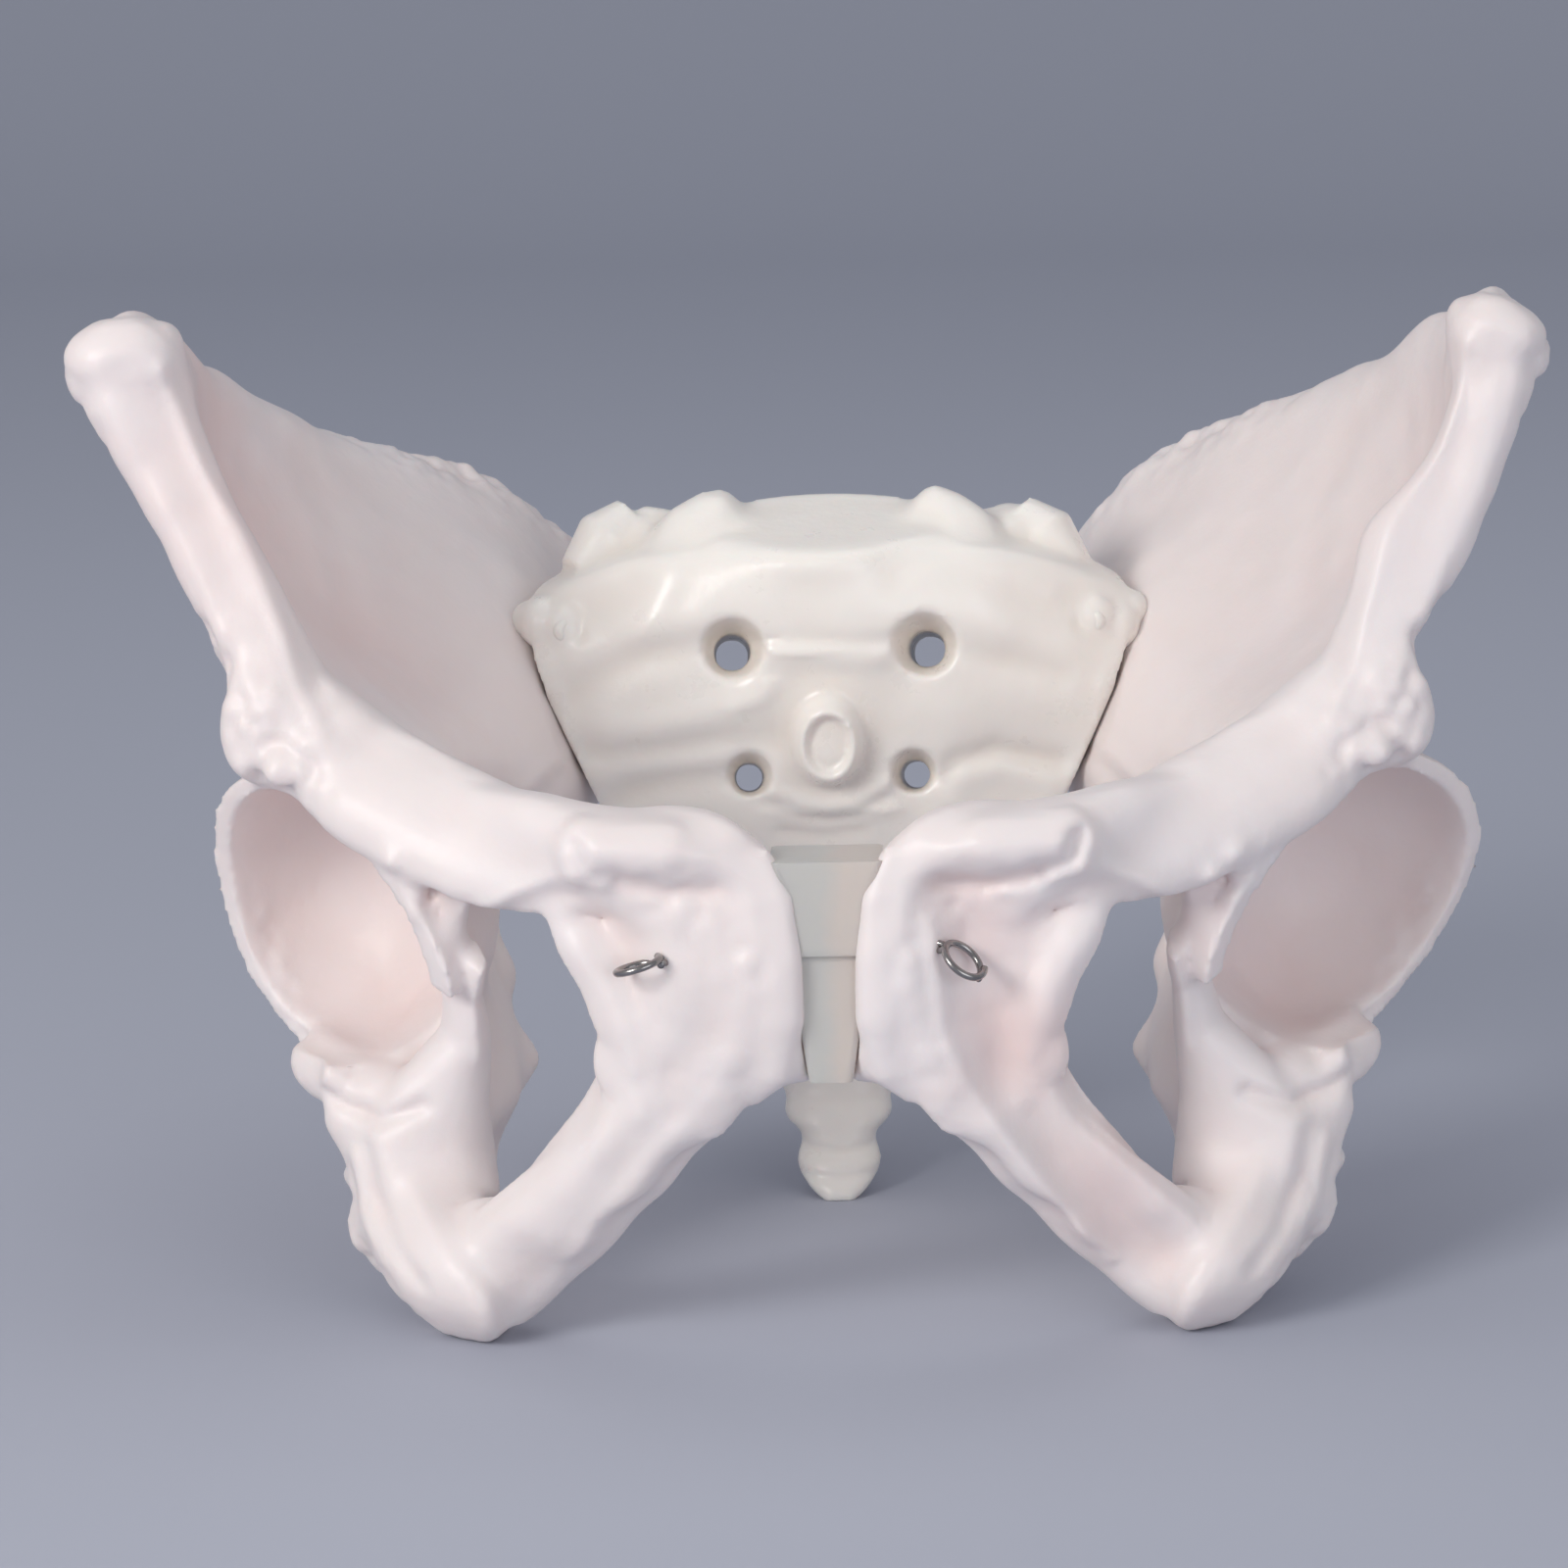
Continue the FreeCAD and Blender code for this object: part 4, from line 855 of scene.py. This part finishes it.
def wireMesh():
    # Each eye is a flattened circle, centre + r (a cos t + f b sin t), that runs a little past one
    # turn and rises beside itself; two strands twist round each other from the eye into the bone.
    v = wireValues
    shapes = []
    turn = np.linspace(*v["eyeTurn"], 60)[:, None]
    part = np.linspace(0, 1, 50)[:, None]
    for centre, axes, inward in wireSides:
        one, other = np.array(axes)
        lift = np.cross(one, other) * (turn / (2 * math.pi) - 0.5) * v["eyeRise"]
        ring = centre + v["eyeHalf"] * (one * np.cos(turn) + other * np.sin(turn) * v["eyeFlat"]) + lift
        shapes.append(rod(ring, v["half"], v["half"], np.cross(one, other), 12))
        start = centre + v["eyeHalf"] * (inward * one)
        end = np.array([start[0] + inward * v["runLength"], v["depth"], v["height"]])
        for phase in (0, math.pi):
            spin = phase + part * v["twist"]
            around = v["strandApart"] * np.concatenate([0 * spin, np.cos(spin), np.sin(spin)], 1)
            run = start + (end - start) * part + around
            half = v["half"] * v["strandShare"]
            shapes.append(rod(run, half, half, (0, 0.3, 1), 10))
    faces, count = [], 0
    for points, own in shapes:
        faces += [[corner + count for corner in face] for face in own]
        count += len(points)
    return meshFrom("wire", np.concatenate([points for points, own in shapes]), faces)


hipFinish = castFinish("hipPlastic", hipPlastic)
sacrumFinish = castFinish("sacrumPlastic", sacrumPlastic)
steel = steelFinish()
silicone = siliconeFinish()
print("finishes made")

base = hipSkin()
for side, way, marks, pulls, places in (("left", 1, leftMarks, leftPulls, leftWarmShade),
                                        ("right", -1, rightMarks, rightPulls, rightWarmShade)):
    skin = Skin(base.points.copy(), base.quads)
    etch(skin, marks)
    pull(skin, pulls)
    # where the rosy painted shade is laid
    warm = strongest(skin.points, places)
    skin.standUp()
    # a mirrored skin's faces are turned round, so that they still point outwards
    skin = Skin(skin.points * (way, 1, 1), base.quads[:, ::way])
    node = "hip_bone_" + side
    piece(node + "_cast", skinMesh(node, skin, warm), hipFinish, node)
piece("sacrum_cast", skinMesh("sacrum", sacrumSkin()), sacrumFinish, "sacrum")
piece("tie_wire_drawn", wireMesh(), steel, "tie_wire")
for name, finish in (("sacroiliac_pin_left", steel), ("sacroiliac_pin_right", steel),
                     ("symphysis_disc", silicone), ("pin_plug_left", sacrumFinish),
                     ("pin_plug_right", sacrumFinish)):
    nodes[name].data.materials.clear()
    nodes[name].data.materials.append(finish)
print("pieces made")

# The floor, the light and the camera, in metres. A lamp is a square that looks from a place at an
# aim, with its power in watts.
stageValues = {
    "floorColour": (0.45, 0.47, 0.55, 1),
    "floorRough": 0.75,
    "floorFront": -2.5,
    "arcStart": 1.6,
    "arcHalf": 0.9,
    "floorTop": 3.4,
    "floorHalf": 3.5,
    "worldColour": (0.93, 0.95, 1.0, 1),
    "worldLight": 0.48,
}
lampValues = [
    {"name": "key", "place": (-0.82, -0.92, 0.62), "aim": (0, 0, 0.07), "width": 0.5, "power": 8.9,
     "colour": (1.0, 0.98, 0.95)},
    {"name": "fill", "place": (0.72, -1.20, 0.22), "aim": (0, 0, 0.08), "width": 0.9, "power": 5.0,
     "colour": (0.92, 0.95, 1.0)},
    {"name": "top", "place": (0.1, 0.35, 1.2), "aim": (0, 0, 0.05), "width": 0.8, "power": 1.6,
     "colour": (1.0, 1.0, 1.0)},
]


def floorSheet():
    # A straight run of floor that rises behind in a wide arc to an upright sheet, carried sideways.
    v = stageValues
    arc = np.linspace(0, 0.5 * math.pi, 24)
    back = v["arcStart"] + v["arcHalf"]
    depth = np.concatenate([[v["floorFront"]], v["arcStart"] + v["arcHalf"] * np.sin(arc), [back]])
    height = np.concatenate([[0.0], v["arcHalf"] * (1 - np.cos(arc)), [v["floorTop"]]])
    width = np.linspace(-v["floorHalf"], v["floorHalf"], 9)
    grid = np.stack(np.broadcast_arrays(width[:, None], depth[None], height[None]), -1)
    rows, columns = grid.shape[:2]
    first = (np.arange(rows - 1)[:, None] * columns + np.arange(columns - 1)).ravel()
    faces = np.stack([first, first + columns, first + columns + 1, first + 1], -1)
    return meshFrom("floor", grid.reshape(-1, 3) / mm, faces)


floorPaper = Finish("floorPaper").surface({"Base Color": stageValues["floorColour"],
                                           "Roughness": stageValues["floorRough"]})
floor = addObject("floor", floorSheet())
floor.data.materials.append(floorPaper)


def addLamp(v):
    data = bpy.data.lights.new(v["name"], "AREA")
    data.shape = "SQUARE"
    data.size = v["width"]
    data.energy = v["power"]
    data.color = v["colour"]
    lamp = addObject(v["name"], data)
    lamp.location = v["place"]
    lamp.rotation_euler = (Vector(v["aim"]) - lamp.location).to_track_quat("-Z", "Y").to_euler()


for values in lampValues:
    addLamp(values)
world = bpy.data.worlds.new("studio")
world.use_nodes = True
sky = world.node_tree.nodes["Background"].inputs
sky["Color"].default_value = stageValues["worldColour"]
sky["Strength"].default_value = stageValues["worldLight"]
bpy.context.scene.world = world
bpy.context.scene.view_settings.view_transform = "Standard"

# The camera looks from 12 degrees above, 0.89 m from the middle of the model, a little from its left.
cameraValues = {
    "elevation": 12.0,
    "turn": 1.13,
    "roll": -1.31,
    "far": 0.888,
    "aim": (0.0, -0.0385, 0.0914),
    "shiftAcross": -0.00765,
    "shiftUp": -0.0032,
    "lens": 118.4,
    "sensor": 36,
    "nearest": 0.05,
    "farthest": 20,
}


def addCamera():
    v = cameraValues
    tilt = math.radians(v["elevation"])
    data = bpy.data.cameras.new("camera")
    data.lens = v["lens"]
    data.sensor_width = v["sensor"]
    data.clip_start, data.clip_end = v["nearest"], v["farthest"]
    camera = addObject("camera", data)
    back = Vector((v["shiftAcross"], v["shiftUp"] * math.sin(tilt) - v["far"] * math.cos(tilt),
                   v["shiftUp"] * math.cos(tilt) + v["far"] * math.sin(tilt)))
    turn = Matrix.Rotation(math.radians(v["turn"]), 4, "Z")
    place = Matrix.Translation(Vector(v["aim"])) @ turn @ Matrix.Translation(back)
    camera.matrix_world = (place @ Matrix.Rotation(0.5 * math.pi - tilt, 4, "X")
                           @ Matrix.Rotation(math.radians(v["roll"]), 4, "Z"))
    bpy.context.scene.camera = camera


addCamera()
print("stage made")
